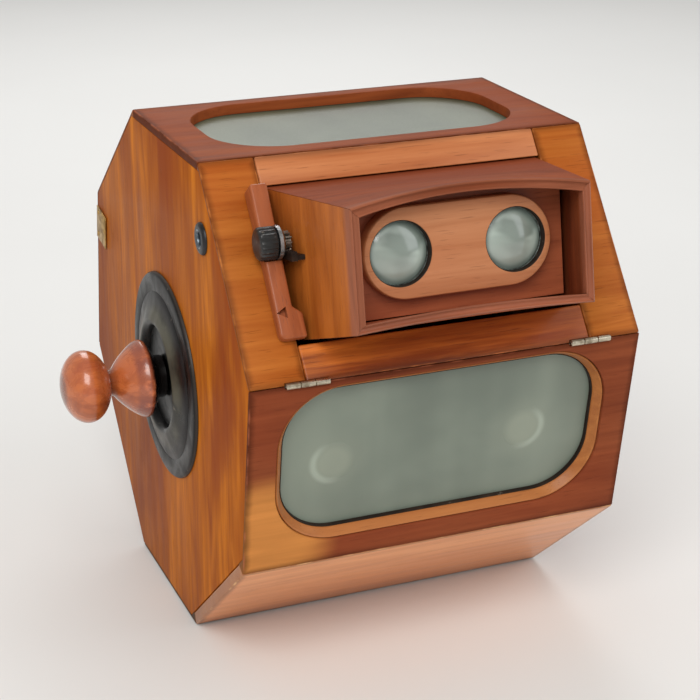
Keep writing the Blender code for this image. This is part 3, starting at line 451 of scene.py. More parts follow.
def lens_glass(name):
    """Lens coloured with a painted view of the pale ground glass beyond it, with painted shade towards the
    bottom and towards its edge.
    """
    s = Shader(name)
    xyz = s.axes()
    radius = s.length(xyz[0], xyz[1])
    # Painted light: the lens's colour is a mottled view of the lit ground glass beyond it.
    painted_view = s.noise(46, 2, 0.4, 0.5, (0.7, 1.3, 0.2), (0.3, 0.2, 0))
    s.colour = s.mix(s.smooth(painted_view, 0.38, 0.62), srgb(126, 138, 130), srgb(186, 200, 190))
    # Painted shade towards the bottom of the lens.
    low = s.smooth(xyz[1], -0.014, 0.004, 0.55, 0)
    s.tint(low, srgb(128, 130, 122))
    # Painted shade darkening towards the lens's edge.
    edge = s.smooth(radius, 0.0128, 0.0163, 0, 0.75)
    s.tint(edge, srgb(92, 104, 98))
    s.set(Base_Color=s.colour, Roughness=s.remap(painted_view, 0.3, 0.7, 0.15, 0.24))
    return s.set(Coat_Weight=0.45, Coat_Roughness=0.12, IOR=1.52, Specular_IOR_Level=0.7)


# ---- Meshes ----
def link(name, data):
    made = bpy.data.objects.new(name, data)
    bpy.context.scene.collection.objects.link(made)
    return made


def add_object(name, mesh, matrix, finish, body, replaced=()):
    made = link(name, mesh)
    made.matrix_world = matrix
    mesh.materials.clear()
    mesh.materials.append(finish)
    if body:
        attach(made, body)
    if replaced:
        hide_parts(*replaced)
    return made


def to_mesh(bm, name):
    bmesh.ops.recalc_face_normals(bm, faces=bm.faces)
    mesh = bpy.data.meshes.new(name)
    bm.to_mesh(mesh)
    bm.free()
    return mesh


def shade(mesh, angle=32):
    mesh.shade_smooth()
    mesh.set_sharp_from_angle(angle=radians(angle))
    return mesh


def box_bmesh(point):
    """A cube whose eight corners go where point(sx, sy, sz) says."""
    bm = bmesh.new()
    bmesh.ops.create_cube(bm, size=2)
    for vertex in bm.verts:
        vertex.co = Vector(point(*(round(value) for value in vertex.co)))
    return bm


def pick(sign, pair):
    return pair[0] if sign < 0 else pair[1]


def round_edges(bm, radius, segments=3, least=30):
    """Round the edges that turn by more than the least angle."""
    sharp = [e for e in bm.edges if len(e.link_faces) == 2 and e.calc_face_angle() > radians(least)]
    bmesh.ops.bevel(bm, geom=sharp, offset=radius, segments=segments, profile=0.5, affect='EDGES',
                    clamp_overlap=True)
    return bm


def join_loops(bm, loops, closed=False):
    """Quads between loops of vertices; closed joins the last to the first, or the ends are capped."""
    for first, second in zip(loops, loops[1:] + loops[:1] if closed else loops[1:]):
        for i in range(len(first)):
            j = (i + 1) % len(first)
            bm.faces.new((first[i], first[j], second[j], second[i]))
    if not closed:
        bm.faces.new(loops[0])
        bm.faces.new(loops[-1])


def loft_mesh(name, loops, closed=False):
    bm = bmesh.new()
    join_loops(bm, [[bm.verts.new(point) for point in loop] for loop in loops], closed)
    return to_mesh(bm, name)


def carve(target, cutters):
    """Cut the given meshes out of an object that isn't moved afterwards."""
    for mesh, matrix in cutters:
        tool = link("cutter", mesh)
        tool.matrix_world = matrix
        target.modifiers.new("cut", 'BOOLEAN').object = tool
        bpy.context.view_layer.update()
        graph = bpy.context.evaluated_depsgraph_get()
        result = bpy.data.meshes.new_from_object(target.evaluated_get(graph))
        target.modifiers.clear()
        target.data = result
        bpy.data.objects.remove(tool)
    shade(target.data)


def tube_mesh(radius, low, high, segments=48, top_radius=None):
    bm = bmesh.new()
    bmesh.ops.create_cone(bm, cap_ends=True, segments=segments, radius1=radius,
                          radius2=top_radius or radius, depth=high - low)
    bmesh.ops.translate(bm, vec=(0, 0, (low + high) / 2), verts=bm.verts)
    return to_mesh(bm, "tube")


def block_bmesh(x, y, z):
    return box_bmesh(lambda sx, sy, sz: (pick(sx, x), pick(sy, y), pick(sz, z)))


def block_mesh(x, y, z):
    return to_mesh(block_bmesh(x, y, z), "block")


def smooth_profile(points, between=4):
    """Points on a Catmull-Rom curve through a turned profile."""
    out = []
    count = len(points)
    for i in range(count - 1):
        p0, p1 = Vector(points[max(i - 1, 0)]), Vector(points[i])
        p2, p3 = Vector(points[i + 1]), Vector(points[min(i + 2, count - 1)])
        for k in range(between):
            t = k / between
            out.append(0.5 * (2 * p1 + (p2 - p0) * t + (2 * p0 - 5 * p1 + 4 * p2 - p3) * t ** 2
                              + (3 * p1 - p0 - 3 * p2 + p3) * t ** 3))
    out.append(Vector(points[-1]))
    return out


def turned_mesh(name, profile, steps=96, ring=False, angle=32, dip=lambda row, turn: 0.0):
    """(radius, height) points turned about z. A ring's profile closes on itself; a point on the axis
    is one vertex, and dip(row, turn) lowers a radius."""
    bm = bmesh.new()
    rows = []
    for index, (radius, height) in enumerate(profile):
        row = []
        for turn in [2 * pi * k / steps for k in range(steps if radius > 1e-7 else 1)]:
            reach = radius - dip(index, turn)
            row.append(bm.verts.new((reach * cos(turn), reach * sin(turn), height)))
        rows.append(row)
    for first, second in zip(rows, rows[1:] + rows[:1] if ring else rows[1:]):
        for k in range(steps):
            j = (k + 1) % steps
            if len(first) == 1:
                bm.faces.new((first[0], second[k], second[j]))
            elif len(second) == 1:
                bm.faces.new((first[k], second[0], first[j]))
            else:
                bm.faces.new((first[k], second[k], second[j], first[j]))
    return shade(to_mesh(bm, name), angle)


# ---- Wood tones: light, dark and warm, in display values ----
ORANGE = ((190, 114, 47), (148, 73, 21), (161, 78, 28))
END = ((213, 126, 38), (155, 79, 22), (138, 63, 30))
TOP = ((153, 79, 40), (105, 48, 24), (130, 59, 29))
PINK = ((206, 134, 84), (166, 92, 48), (178, 102, 60))
LOW_RAIL = ((202, 112, 42), (116, 50, 16), (152, 70, 28))
DOOR = ((146, 78, 48), (103, 50, 32), (127, 58, 35))
DOOR_PATCH = srgb(214, 142, 74)
SALMON = ((240, 170, 118), (206, 132, 86), (216, 142, 96))
LENS_BOARD_TONE = ((192, 131, 91), (164, 100, 62), (174, 107, 70))
LENS_PLATE_TONE = ((176, 98, 64), (126, 64, 42), (146, 72, 46))
BEAD = ((190, 124, 66), (146, 84, 40), (160, 94, 50))
HOOD = ((149, 76, 43), (104, 48, 27), (126, 57, 32))
HOOD_LOW = ((196, 114, 74), (146, 74, 46), (166, 80, 46))
HOOD_LEFT = ((190, 108, 42), (140, 70, 24), (150, 74, 34))
# The hood's right wall has darker tones than the left: painted shade, as the inside of that wall lies in
# shadow.
HOOD_RIGHT_SHADED = ((140, 72, 38), (84, 38, 22), (110, 48, 28))
RIM_TONE = srgb(158, 94, 68)
FOCUS_BLOCK_TONE = ((176, 98, 58), (132, 66, 36), (150, 74, 46))
KNOB = ((192, 104, 54), (140, 64, 30), (156, 72, 50))
DULL = ((120, 84, 56), (82, 54, 34), (96, 62, 40))


# ---- Boards wrapped round the case ----
def hinge_cuts(corner_name):
    """Clearance for the two hinges at a corner: a bore for the knuckles and a slot for the leaves."""
    cuts = []
    half = HINGE_HALF + GAP
    for side, _ in SIDES:
        matrix = hinge_frame(corner_name, side * HINGE_X)
        bore = tube_mesh(KNUCKLE_RADIUS + 0.0007, -half, half, 32)
        cuts.append((bore, matrix @ Matrix.Rotation(pi / 2, 4, 'Y')))
        cuts.append((block_mesh((-half, half), (0, 0.0066), (-0.0014, 0.0014)), matrix))
    return cuts


def inset_corners(insets):
    """The octagon's corners moved in by each face's own inset, as (y, z) from the axle."""
    points = []
    for name in CORNER_ORDER:
        across = Matrix([(normal.y, normal.z) for normal in corner_normals(name)])
        shift = across.inverted() @ Vector((insets[neighbour(name, -1)], insets[name]))
        y, z = CORNERS[name]
        points.append((y + shift.x, z + shift.y))
    return points


def flange_insets(less=0.0):
    return {name: FLANGE_INSETS.get(name, FLANGE_INSET) - less for name in CORNER_ORDER}


def octagon_mesh(name, side, rings, radius=0.0):
    """Octagonal rings of (insets, x), joined in order and capped."""
    bm = bmesh.new()
    join_loops(bm, [[bm.verts.new((y, z, side * x)) for y, z in inset_corners(insets)]
                    for insets, x in rings])
    bmesh.ops.recalc_face_normals(bm, faces=bm.faces)
    if radius:
        round_edges(bm, radius, 3, 20)
    return to_mesh(bm, name)


def end_rebates():
    """Clearance in the ends of the boards for the flanges of the end panels."""
    insets = flange_insets(GAP)
    low, high = HALF_WIDTH - FLANGE - GAP, HALF_WIDTH + 0.002
    return [(octagon_mesh("rebate", side, [(insets, low), (insets, high)]), side_frame()) for side in (-1, 1)]


def add_board(name, a, b, finish, x=FULL_WIDTH, start=None, end=None, end_slope=0.0, cuts=()):
    """Board on a face; it runs to the mitre at each corner, or from start or to end where given."""
    low = (GAP / 2, mitre_slope(a)) if start is None else (start, 0.0)
    high = (face_length(a, b) - GAP / 2, -mitre_slope(b)) if end is None else (end, end_slope)

    def point(sx, sy, sz):
        depth = pick(sz, (0, BOARD))
        edge, slope = pick(sy, (low, high))
        return pick(sx, x), edge + slope * depth, depth

    bm = round_edges(box_bmesh(point), BOARD_ARRIS)
    made = add_object(name + "_wood", shade(to_mesh(bm, name)), face_frame(a, b), finish, "case", [name])
    if cuts:
        carve(made, cuts)


def rounded_rectangle(x, y, radius, segments):
    """Outline as (x, y, corner number, share of the corner's arc), anticlockwise."""
    points = []
    centres = [(x[1] - radius, y[1] - radius), (x[0] + radius, y[1] - radius),
               (x[0] + radius, y[0] + radius), (x[1] - radius, y[0] + radius)]
    for quarter, (cx, cy) in enumerate(centres):
        for i in range(segments + 1):
            angle = pi / 2 * (quarter + i / segments)
            points.append((cx + radius * cos(angle), cy + radius * sin(angle), quarter, i / segments))
    return points


def shrunk(span, inset):
    return span[0] + inset, span[1] - inset


def rounded_loop(x, y, radius, inset, depth, segments=WINDOW_SEGMENTS):
    """Points of a rounded rectangle moved in by an inset, at a depth."""
    outline = rounded_rectangle(shrunk(x, inset), shrunk(y, inset), radius - inset, segments)
    return [(px, py, depth) for px, py, _, _ in outline]


def square_partner(x_reach, y_reach, point):
    """Where the outer rectangle carries the point that matches one on a rounded opening."""
    px, py, quarter, share = point
    ox = x_reach[1] if quarter in (0, 3) else x_reach[0]
    oy = y_reach[1] if quarter in (0, 1) else y_reach[0]
    if abs(share - 0.5) < 1e-6:
        return ox, oy
    upright_first = quarter in (0, 2)
    if (share < 0.5) == upright_first:
        return ox, py + (oy - py) * min(1, 2 * (share if upright_first else 1 - share)) ** 2
    return px + (ox - px) * min(1, 2 * ((1 - share) if upright_first else share)) ** 2, oy


def add_window_board(name, a, b, finish, hole_x, hole_y, radius, body, cuts, rebate=None):
    """Mitred board with a rounded opening whose arrises are softened; rebate is (width, depth)."""
    edge, lip = 0.001, 0.0011
    length = face_length(a, b)

    def outer(depth, inset):
        mitred = (GAP / 2 + mitre_slope(a) * depth, length - GAP / 2 - mitre_slope(b) * depth)
        x_reach, y_reach = shrunk(FULL_WIDTH, inset), shrunk(mitred, inset)
        return [(*square_partner(x_reach, y_reach, point), depth)
                for point in rounded_rectangle(hole_x, hole_y, radius, WINDOW_SEGMENTS)]

    def inner(depth, grow):
        return rounded_loop(hole_x, hole_y, radius, -grow, depth)

    bends = [(0, 1), (0.293, 0.293), (1, 0)]
    loops = [outer(edge * down, edge * back) for down, back in reversed(bends)]
    loops += [inner(lip * down, lip * out) for down, out in bends]
    if rebate:
        grow, ledge = rebate
        loops += [inner(ledge, 0), inner(ledge, grow), inner(BOARD, grow)]
    else:
        loops += [inner(BOARD, 0)]
    loops += [outer(BOARD, 0)]
    mesh = shade(loft_mesh(name, loops, closed=True))
    carve(add_object(name + "_wood", mesh, face_frame(a, b), finish, body, [name]), cuts)


def ring_mesh(name, profile, x, y, radius):
    """A closed (inset, depth) profile carried round a rounded rectangle."""
    loops = [rounded_loop(x, y, radius, inset, depth) for inset, depth in profile]
    return shade(loft_mesh(name, loops, closed=True), 50)


def add_bead(name, a, b, finish, x, y, radius, body):
    """Moulding let into a door's opening, with a black fillet from its foot down to the glass."""
    moulding = [(0.0003, BEAD_BACK), (0.0003, 0.0018), (0.0005, 0.0013), (0.0009, 0.0011),
                (0.0013, 0.0014), (0.0017, 0.0021), (0.0023, 0.003), (0.003, 0.0041),
                (0.0037, 0.0052), (0.0042, 0.006), (0.0043, 0.0064), (0.0043, BEAD_BACK)]
    face = face_frame(a, b)
    add_object(name + "_moulding", ring_mesh(name, moulding, x, y, radius), face, finish, body, [name])
    fillet = [(0.0043, BEAD_BACK), (0.0043, 0.0063), (0.0045, 0.0061), (0.0049, 0.0063),
              (0.005, BEAD_BACK)]
    add_object(name + "_fillet", ring_mesh(name + "_fillet", fillet, x, y, radius), face, FILLET, body)


def add_pane(name, a, b, finish, x, y, radius, front, body, reliefs=()):
    """Sheet of glass with ground arrises and, where given, shallow round reliefs on its face."""
    shape = [(0.0003, front), (0, front + 0.0003), (0, front + GLASS)]
    loops = [rounded_loop(x, y, radius, inset, depth) for inset, depth in shape]
    add_object(name + "_pane", shade(loft_mesh(name, loops)), face_frame(a, b), finish, body, [name])
    for index, (px, py, r) in enumerate(reliefs):
        profile = [(0, -0.00022), (r * 0.5, -0.00021), (r * 0.75, -0.00017), (r * 0.9, -0.00012),
                   (r * 1.0, -0.00003), (r * 1.06, 0.0002)]
        mesh = turned_mesh("relief", smooth_profile(profile, 3) + [Vector((0, 0.0002))], 64)
        mesh.transform(Matrix.Translation((px, py, front)))
        add_object(f"{name}_round_{index + 1}", mesh, face_frame(a, b), finish, body)


def edge_spans(a, b, x=FULL_WIDTH):
    return {"X": x, "Y": (0, face_length(a, b))}


def make_case():
    cut_c, cut_g = hinge_cuts("C"), hinge_cuts("G")
    ends = end_rebates()
    stiles = (("left", (-HALF_WIDTH, -OPENING_HALF), 3.1, cut_c[:2] + ends[:1]),
              ("right", (OPENING_HALF, HALF_WIDTH), 7.7, cut_c[2:] + ends[1:]))
    for word, x, seed, cuts in stiles:
        finish = wood("stile_" + word, ORANGE, "X", seed, edge_spans("B", "C", x), coat=0.0, specular=0.08)
        add_board(f"upper_front_{word}_stile", "B", "C", finish, x=x, cuts=cuts)
    width = shrunk((-OPENING_HALF, OPENING_HALF), GAP)
    inward = face_frame("B", "C").to_3x3().col[2]
    tilt = inward.angle(-eyepiece_frame().to_3x3().col[2])
    finish = wood("rail_top", PINK, "X", 12.3, {"X": (-1, 1), "Y": (0, 1)})
    add_board("upper_front_top_rail", "B", "C", finish, x=width, end=TOP_RAIL, end_slope=-tan(tilt))
    finish = wood("rail_bottom", LOW_RAIL, "X", 15.9, {"Y": (-1, face_length("B", "C"))}, contrast=1.9)
    add_board("upper_front_bottom_rail", "B", "C", finish, x=width, start=BOTTOM_RAIL_START, cuts=cut_c)
    boards = (("lower_front_board", "D", "E", "salmon", SALMON, 21.0, {"figure": 0.4}, ends),
              ("bottom_board", "E", "F", "base", DULL, 24.0, {"roughness": 0.6}, ends),
              ("lower_back_board", "F", "G", "back_low", ORANGE, 27.0, {}, cut_g + ends),
              ("upper_back_board", "H", "A", "back_high", ORANGE, 31.0, {}, ends))
    for name, a, b, label, tones, seed, look, cuts in boards:
        add_board(name, a, b, wood(label, tones, "X", seed, edge_spans(a, b), **look), cuts=cuts)
    make_top(ends)
    make_end_panel(-1, "left_end_panel", 41.0)
    make_end_panel(1, "right_end_panel", 47.0)


def make_top(ends):
    """Top board with its window and, in a rebate from below, the ground glass."""
    hole_x = (-TOP_WINDOW_HALF, TOP_WINDOW_HALF)
    hole_y = (TOP_WINDOW_BACK, face_length("A", "B") - TOP_WINDOW_FRONT)
    finish = wood("top", TOP, "X", 35.0, edge_spans("A", "B"), roughness=0.5, coat=0.0, specular=0.04)
    add_window_board("top_window_frame", "A", "B", finish, hole_x, hole_y, WINDOW_RADIUS, "case", ends,
                     (TOP_REBATE, TOP_LEDGE))
    grow = TOP_REBATE - GAP
    add_pane("top_ground_glass", "A", "B", ground_glass("top_glass", srgb(90, 98, 78), srgb(73, 81, 64)),
             shrunk(hole_x, -grow), shrunk(hole_y, -grow), WINDOW_RADIUS + grow, TOP_LEDGE + GAP, "case")


def make_end_panel(side, name, seed):
    """Octagonal panel with a flange let into the ends of the boards."""
    flange = flange_insets()
    plug = {key: max(BOARD + GAP, inset + PLUG_STEP) for key, inset in flange.items()}
    step = HALF_WIDTH - FLANGE
    rings = [(plug, HALF_WIDTH - END_BOARD), (plug, step), (flange, step), (flange, HALF_WIDTH)]
    mesh = shade(octagon_mesh(name, side, rings, END_ARRIS))
    finish = wood(name + "_wood", END, "Y", seed, figure=0.85, contrast=1.3, coat=0.0, specular=0.012)
    panel = add_object(name + "_wood", mesh, side_frame(), finish, "case", [name])
    cuts = [(tube_mesh(AXLE_BORE, -0.02, 0.02), outward_frame(side))]
    if side < 0:
        cuts.append((tube_mesh(EYELET_BORE, -0.02, 0.02), outward_frame(side, *EYELET)))
    carve(panel, cuts)


# ---- Doors ----
def make_door(label, a, b, seed, patch, reliefs):
    body = label + "_door"
    y = (DOOR_MARGIN, face_length(a, b) - DOOR_FREE_MARGIN)
    finish = wood(body + "_wood", DOOR, "X", seed, edge_spans(a, b), figure=0.45, patch=patch, coat=0.0,
                  specular=0.03)
    add_window_board(body + "_frame", a, b, finish, DOOR_X, y, DOOR_RADIUS, body,
                     hinge_cuts(a) + end_rebates())
    add_bead(body + "_bead", a, b, wood(label + "_bead_wood", BEAD, "X", seed + 2), DOOR_X, y, DOOR_RADIUS,
             body)
    inset = 2 * GAP
    glass = ground_glass(label + "_glass", srgb(125, 134, 121), srgb(103, 112, 101), reliefs,
                         srgb(142, 148, 132))
    add_pane(body + "_glass", a, b, glass, shrunk(DOOR_X, inset), shrunk(y, inset), DOOR_RADIUS - inset,
             BEAD_BACK + GAP, body, reliefs)
    for side, word in SIDES:
        make_hinge(label, a, side, word)


def make_hinge(label, corner_name, side, word):
    """Hinge with turned knuckles; the fixed half has the outer two and the pin's heads."""
    turn = hinge_frame(corner_name, side * HINGE_X) @ Matrix.Rotation(pi / 2, 4, 'Y')
    half, third, r, edge = HINGE_HALF, KNUCKLE_HALF, KNUCKLE_RADIUS, 0.0003
    bore = PIN_RADIUS + 0.00001
    outside, inside = (0.00015, 0.00095), (-0.00095, -0.00015)

    def knuckle(low, high):
        profile = [(bore, high), (r - edge, high), (r, high - edge), (r, low + edge), (r - edge, low),
                   (bore, low)]
        return turned_mesh("knuckle", profile, 32, True)

    def leaf(x, y, z):
        mesh = block_mesh(x, y, z)
        mesh.transform(Matrix.Rotation(-pi / 2, 4, 'Y'))
        return mesh

    head = [(0, half + 0.0002), (PIN_RADIUS * 0.7, half + 0.00015), (PIN_RADIUS, half - 0.0001)]
    pin = turned_mesh("pin", head + [(radius, -height) for radius, height in reversed(head)], 20)
    ends = ((-half, -third - GAP), (third + GAP, half))
    fixed = [knuckle(*end) for end in ends] + [pin] + [leaf(end, (0.0012, 0.0063), outside) for end in ends]
    moving = [knuckle(-third, third), leaf((-half, half), (0.0026, 0.0063), inside),
              leaf((-third + edge, third - edge), (0.0014, 0.0028), inside)]
    for kind, bits, body in (("fixed", fixed, "case"), ("leaf", moving, label + "_door")):
        name = f"{label}_hinge_{kind}_{word}"
        add_object(name + "_metal", shade(join_meshes("hinge_" + kind, bits)), turn, NICKEL, body, [name])


def join_meshes(name, meshes):
    bm = bmesh.new()
    for mesh in meshes:
        bm.from_mesh(mesh)
    joined = bpy.data.meshes.new(name)
    bm.to_mesh(joined)
    bm.free()
    return joined


# ---- Side fittings ----
BALL_CENTRE = 0.0489
BALL_HALF_LENGTH = 0.0144
BALL_RADIUS = 0.0212
NECK_RADIUS = 0.0068
NECK_HEIGHT = 0.0335
SAUCER_RADIUS = 0.0226
SAUCER_HEIGHT = 0.0165


def knob_profile():
    """Ball, hollow neck, saucer and foot, with the blind bore for the axle."""
    last = pi - asin(NECK_RADIUS / BALL_RADIUS)
    steps = 26
    points = [(0, BALL_CENTRE + BALL_HALF_LENGTH)]
    for i in range(1, steps + 1):
        angle = last * i / steps
        points.append((BALL_RADIUS * sin(angle), BALL_CENTRE + BALL_HALF_LENGTH * cos(angle)))
    steps = 14
    for i in range(1, steps + 1):
        t = i / steps
        radius = NECK_RADIUS + (SAUCER_RADIUS - NECK_RADIUS) * (1 - (1 - t) ** 1.25)
        points.append((radius, NECK_HEIGHT + (SAUCER_HEIGHT - NECK_HEIGHT) * t ** 1.15))
    back = [(SAUCER_RADIUS, SAUCER_HEIGHT), (0.0229, 0.0152), (0.0226, 0.0139), (0.0217, 0.0128),
            (0.0178, 0.0103), (0.014, 0.0088), (0.0127, 0.007)]
    points += [tuple(p) for p in smooth_profile(back, 4)[1:]]
    socket = 0.03
    points += [(0.0125, 0.0034), (0.0121, 0.003), (AXLE_BORE, 0.003), (AXLE_BORE, socket), (0, socket)]
    return points


def make_side_fittings(side, word):
    crown = [(0.0294, 0.002), (0.0299, 0.0036), (0.0306, 0.0052), (0.0317, 0.0063), (0.0332, 0.0068),
             (0.0352, 0.0065), (0.039, 0.0054), (0.043, 0.0043), (0.047, 0.0035), (0.0492, 0.0028)]
    border = [(0.05, 0.0024), (0.0506, 0.0027), (0.0592, 0.0026), (0.0606, 0.0022), (0.0613, 0.0014),
              (0.0615, 0.0004)]
    profile = [(AXLE_BORE, 0.0004), (AXLE_BORE, 0.0017), (0.0047, 0.002)] + smooth_profile(crown, 3) + border
    finish = black_metal(word + "_escutcheon_black", (13, 12, 12), (30, 27, 28), ring=True,
                         specular=0.16)
    add_object(word + "_escutcheon_turned", turned_mesh(word + "_escutcheon", profile, 128, True, 40),
               outward_frame(side), finish, "case", [word + "_escutcheon"])
    add_object(word + "_knob_turned", turned_mesh(word + "_knob", knob_profile()), outward_frame(side),
               turned_wood(word + "_knob_wood", KNOB), "reel", [word + "_knob"])


def make_eyelet():
    back = -0.009
    bush = smooth_profile([(0.0042, 0.0004), (0.0047, 0.0017), (0.0056, 0.0023), (0.007, 0.0023),
                           (0.0082, 0.0018), (0.0088, 0.001), (0.009, 0.0004)], 4)
    bush += [(0.0066, 0.0004), (0.0066, back), (0.0042, back)]
    liner = smooth_profile([(0.0038, -0.0084), (0.0037, 0.0002), (0.004, 0.0018), (0.0048, 0.0024),
                            (0.0053, 0.0024)], 3)
    liner += [(0.0053, 0.002), (0.0044, 0.0014), (0.0041, -0.0084)]
    spot = outward_frame(-1, *EYELET)
    add_object("side_eyelet_bush", turned_mesh("eyelet", bush, 64, True), spot,
               black_metal("eyelet_black", (24, 24, 26), (44, 46, 50)), "case", ["side_eyelet"])
    add_object("side_eyelet_liner", turned_mesh("liner", liner, 64, True), spot,
               bare_metal("liner_metal", (128, 140, 150), (70, 76, 84), "Z"), "case")


def screw_mesh(radius):
    """Countersunk screw head before its slot is cut."""
    proud = 0.0004
    profile = [(0, proud), (radius * 0.6, proud), (radius * 0.92, proud * 0.6), (radius, 0), (radius, -proud),
               (0, -proud)]
    return turned_mesh("screw", profile, 32)


def make_catch_plate():
    """Brass plate by the back door's free edge, with three slotted screws."""
    low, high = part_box("catch_plate")
    matrix = face_frame("G", "H")
    bm = round_edges(block_bmesh((low.x, high.x), (0.0815, 0.1035), (0.0025, 0.0235)), 0.0003, 2)
    add_object("catch_plate_brass", shade(to_mesh(bm, "catch_plate")), matrix, BRASS, "case", ["catch_plate"])
    for index, (up, depth) in enumerate(((0.085, 0.0062), (0.1, 0.0062), (0.0925, 0.0198))):
        spot = matrix @ Matrix.Translation((low.x, up, depth)) @ Matrix.Rotation(-pi / 2, 4, 'Y')
        head = add_object(f"catch_screw_{index + 1}", screw_mesh(0.0016), spot, BRASS, "case")
        carve(head, [(block_mesh((-0.002, 0.002), (-0.00022, 0.00022), (0.0001, 0.001)),
                      spot @ Matrix.Rotation(0.6 + index, 4, 'Z'))])


# ---- Eyepiece ----
def hood_half_width(a):
    """Half the hood's outside width at a distance along the lens axis."""
    return HOOD_HALF_WIDTH + HOOD_FLARE * (RIM - a)


def hood_top(a):
    return HOOD_TOP_EDGE + HOOD_TOP_RISE * (RIM - a)


def hood_bottom(a):
    return HOOD_LOW_EDGE - HOOD_LOW_DROP * (RIM - a)


def hood_back(u):
    """Where the hood's seat, sunk into the sloping face, lies along the lens axis at a height u."""
    face = face_frame("B", "C")
    inward = face.to_3x3().col[2]
    eye = eyepiece_frame()
    start = (eye.translation - face.translation).dot(inward)
    up, out = eye.to_3x3().col[1], eye.to_3x3().col[2]
    return (HOOD_SEAT - start - u * up.dot(inward)) / out.dot(inward)


def hood_back_on(edge):
    """Where the back edge of the hood's top or bottom lies along the lens axis."""
    a = 0.0
    for _ in range(8):
        a = hood_back(edge(a))
    return a + 0.0004


def wall_section(back):
    """Hood wall as (depth into the wall, distance along the lens axis), round its moulded rim."""
    drops = [(0, 0.0012), (0.0002, 0.0004), (0.0006, 0), (0.001, 0.0001), (0.0014, 0.0007), (0.002, 0.0013),
             (0.0026, 0.0015), (0.0032, 0.0013), (0.0038, 0.0007), (0.0042, 0.0001), (0.0046, 0),
             (0.0049, 0.0004), (0.005, 0.0012)]
    steps = [back + (RIM - back) * t for t in (0, 0.25, 0.5, 0.75)]
    outside = [(0, a) for a in steps]
    rim = [(depth, RIM - drop) for depth, drop in drops]
    return outside + rim + [(HOOD_WALL, a) for a in reversed(steps)]


def add_hood_piece(name, finish, steps, back_at, place):
    """Wall section carried along a wall: back_at(w) is its back edge, place(w, depth, a) a point."""
    loops = [[place(i / steps, depth, a) for depth, a in wall_section(back_at(i / steps))]
             for i in range(steps + 1)]
    mesh = shade(loft_mesh(name, loops), 40)
    add_object(name + "_wall", mesh, eyepiece_frame(), finish, "eyepiece", [name])


def add_hood_wall(name, edge, inward, finish, arch, recess):
    """Top or bottom wall, mitred at both ends; its middle is arched and hollowed towards the rim."""
    back = hood_back_on(edge)

    def place(w, depth, a):
        crown = 1 - (2 * w - 1) ** 2
        share = max(0, (a - back) / (RIM - back))
        left, right = (Vector((sign * (hood_half_width(a) - depth), edge(a) + inward * depth,
                               a - recess * crown * share)) for sign, _ in SIDES)
        point = left.lerp(right, w)
        point.y += arch * crown * share ** 2
        return point

    add_hood_piece(name, finish, 28, lambda w: back, place)


def make_hood():
    finish_top = wood("hood_top_wood", HOOD, "X", 51.0, roughness=0.56, coat=0.0, specular=0.04, rim=RIM_TONE)
    finish_low = wood("hood_low_wood", HOOD_LOW, "X", 54.0, rim=RIM_TONE)
    add_hood_wall("hood_top", hood_top, -1, finish_top, 0.006, 0.005)
    add_hood_wall("hood_bottom", hood_bottom, 1, finish_low, 0.0015, 0.004)
    # The right wall's darker tones are painted shade.
    for (sign, word), tones in zip(SIDES, (HOOD_LEFT, HOOD_RIGHT_SHADED)):
        finish = wood(f"hood_{word}_wood", tones, "Y", 57.0 + sign, contrast=1.2, rim=RIM_TONE)
        add_hood_side(sign, f"hood_{word}_side", finish)


def add_hood_side(sign, name, finish):
    """Side wall whose back edge follows the case's sloping face."""
    low_back, high_back = hood_back_on(hood_bottom), hood_back_on(hood_top)

    def place(w, depth, a):
        low = hood_bottom(a) + depth + 0.0002
        high = hood_top(a) - depth - 0.0002
        return Vector((sign * (hood_half_width(a) - depth), low + (high - low) * w, a))

    add_hood_piece(name, finish, 24, lambda w: low_back + (high_back - low_back) * w, place)


def lens_spot(side, forward=0.0):
    return eyepiece_frame() @ Matrix.Translation((side * LENS_HALF_SPACING, 0, forward))


def make_lens_board():
    """Raised board with round ends and two holes whose front arrises are countersunk."""
    half_x, half_y = LENS_BOARD_HALF
    shape = [(0, -LENS_BOARD), (0, -0.0016), (0.0002, -0.0008), (0.0007, -0.0002), (0.0015, 0)]
    loops = [rounded_loop((-half_x, half_x), (-half_y, half_y), half_y - 0.00005, inset, z, 28)
             for inset, z in shape]
    finish = wood("lens_board_wood", LENS_BOARD_TONE, "X", 63.0, figure=0.45)
    board = add_object("lens_board_raised", shade(loft_mesh("lens_board", loops)), eyepiece_frame(), finish,
                       "eyepiece", ["lens_board"])
    cuts = []
    for side, _ in SIDES:
        cuts.append((tube_mesh(LENS_HOLE, -0.02, 0.01, 96), lens_spot(side)))
        cuts.append((tube_mesh(LENS_HOLE - 0.0004, -0.0006, 0.0008, 96, LENS_HOLE + 0.001), lens_spot(side)))
    carve(board, cuts)


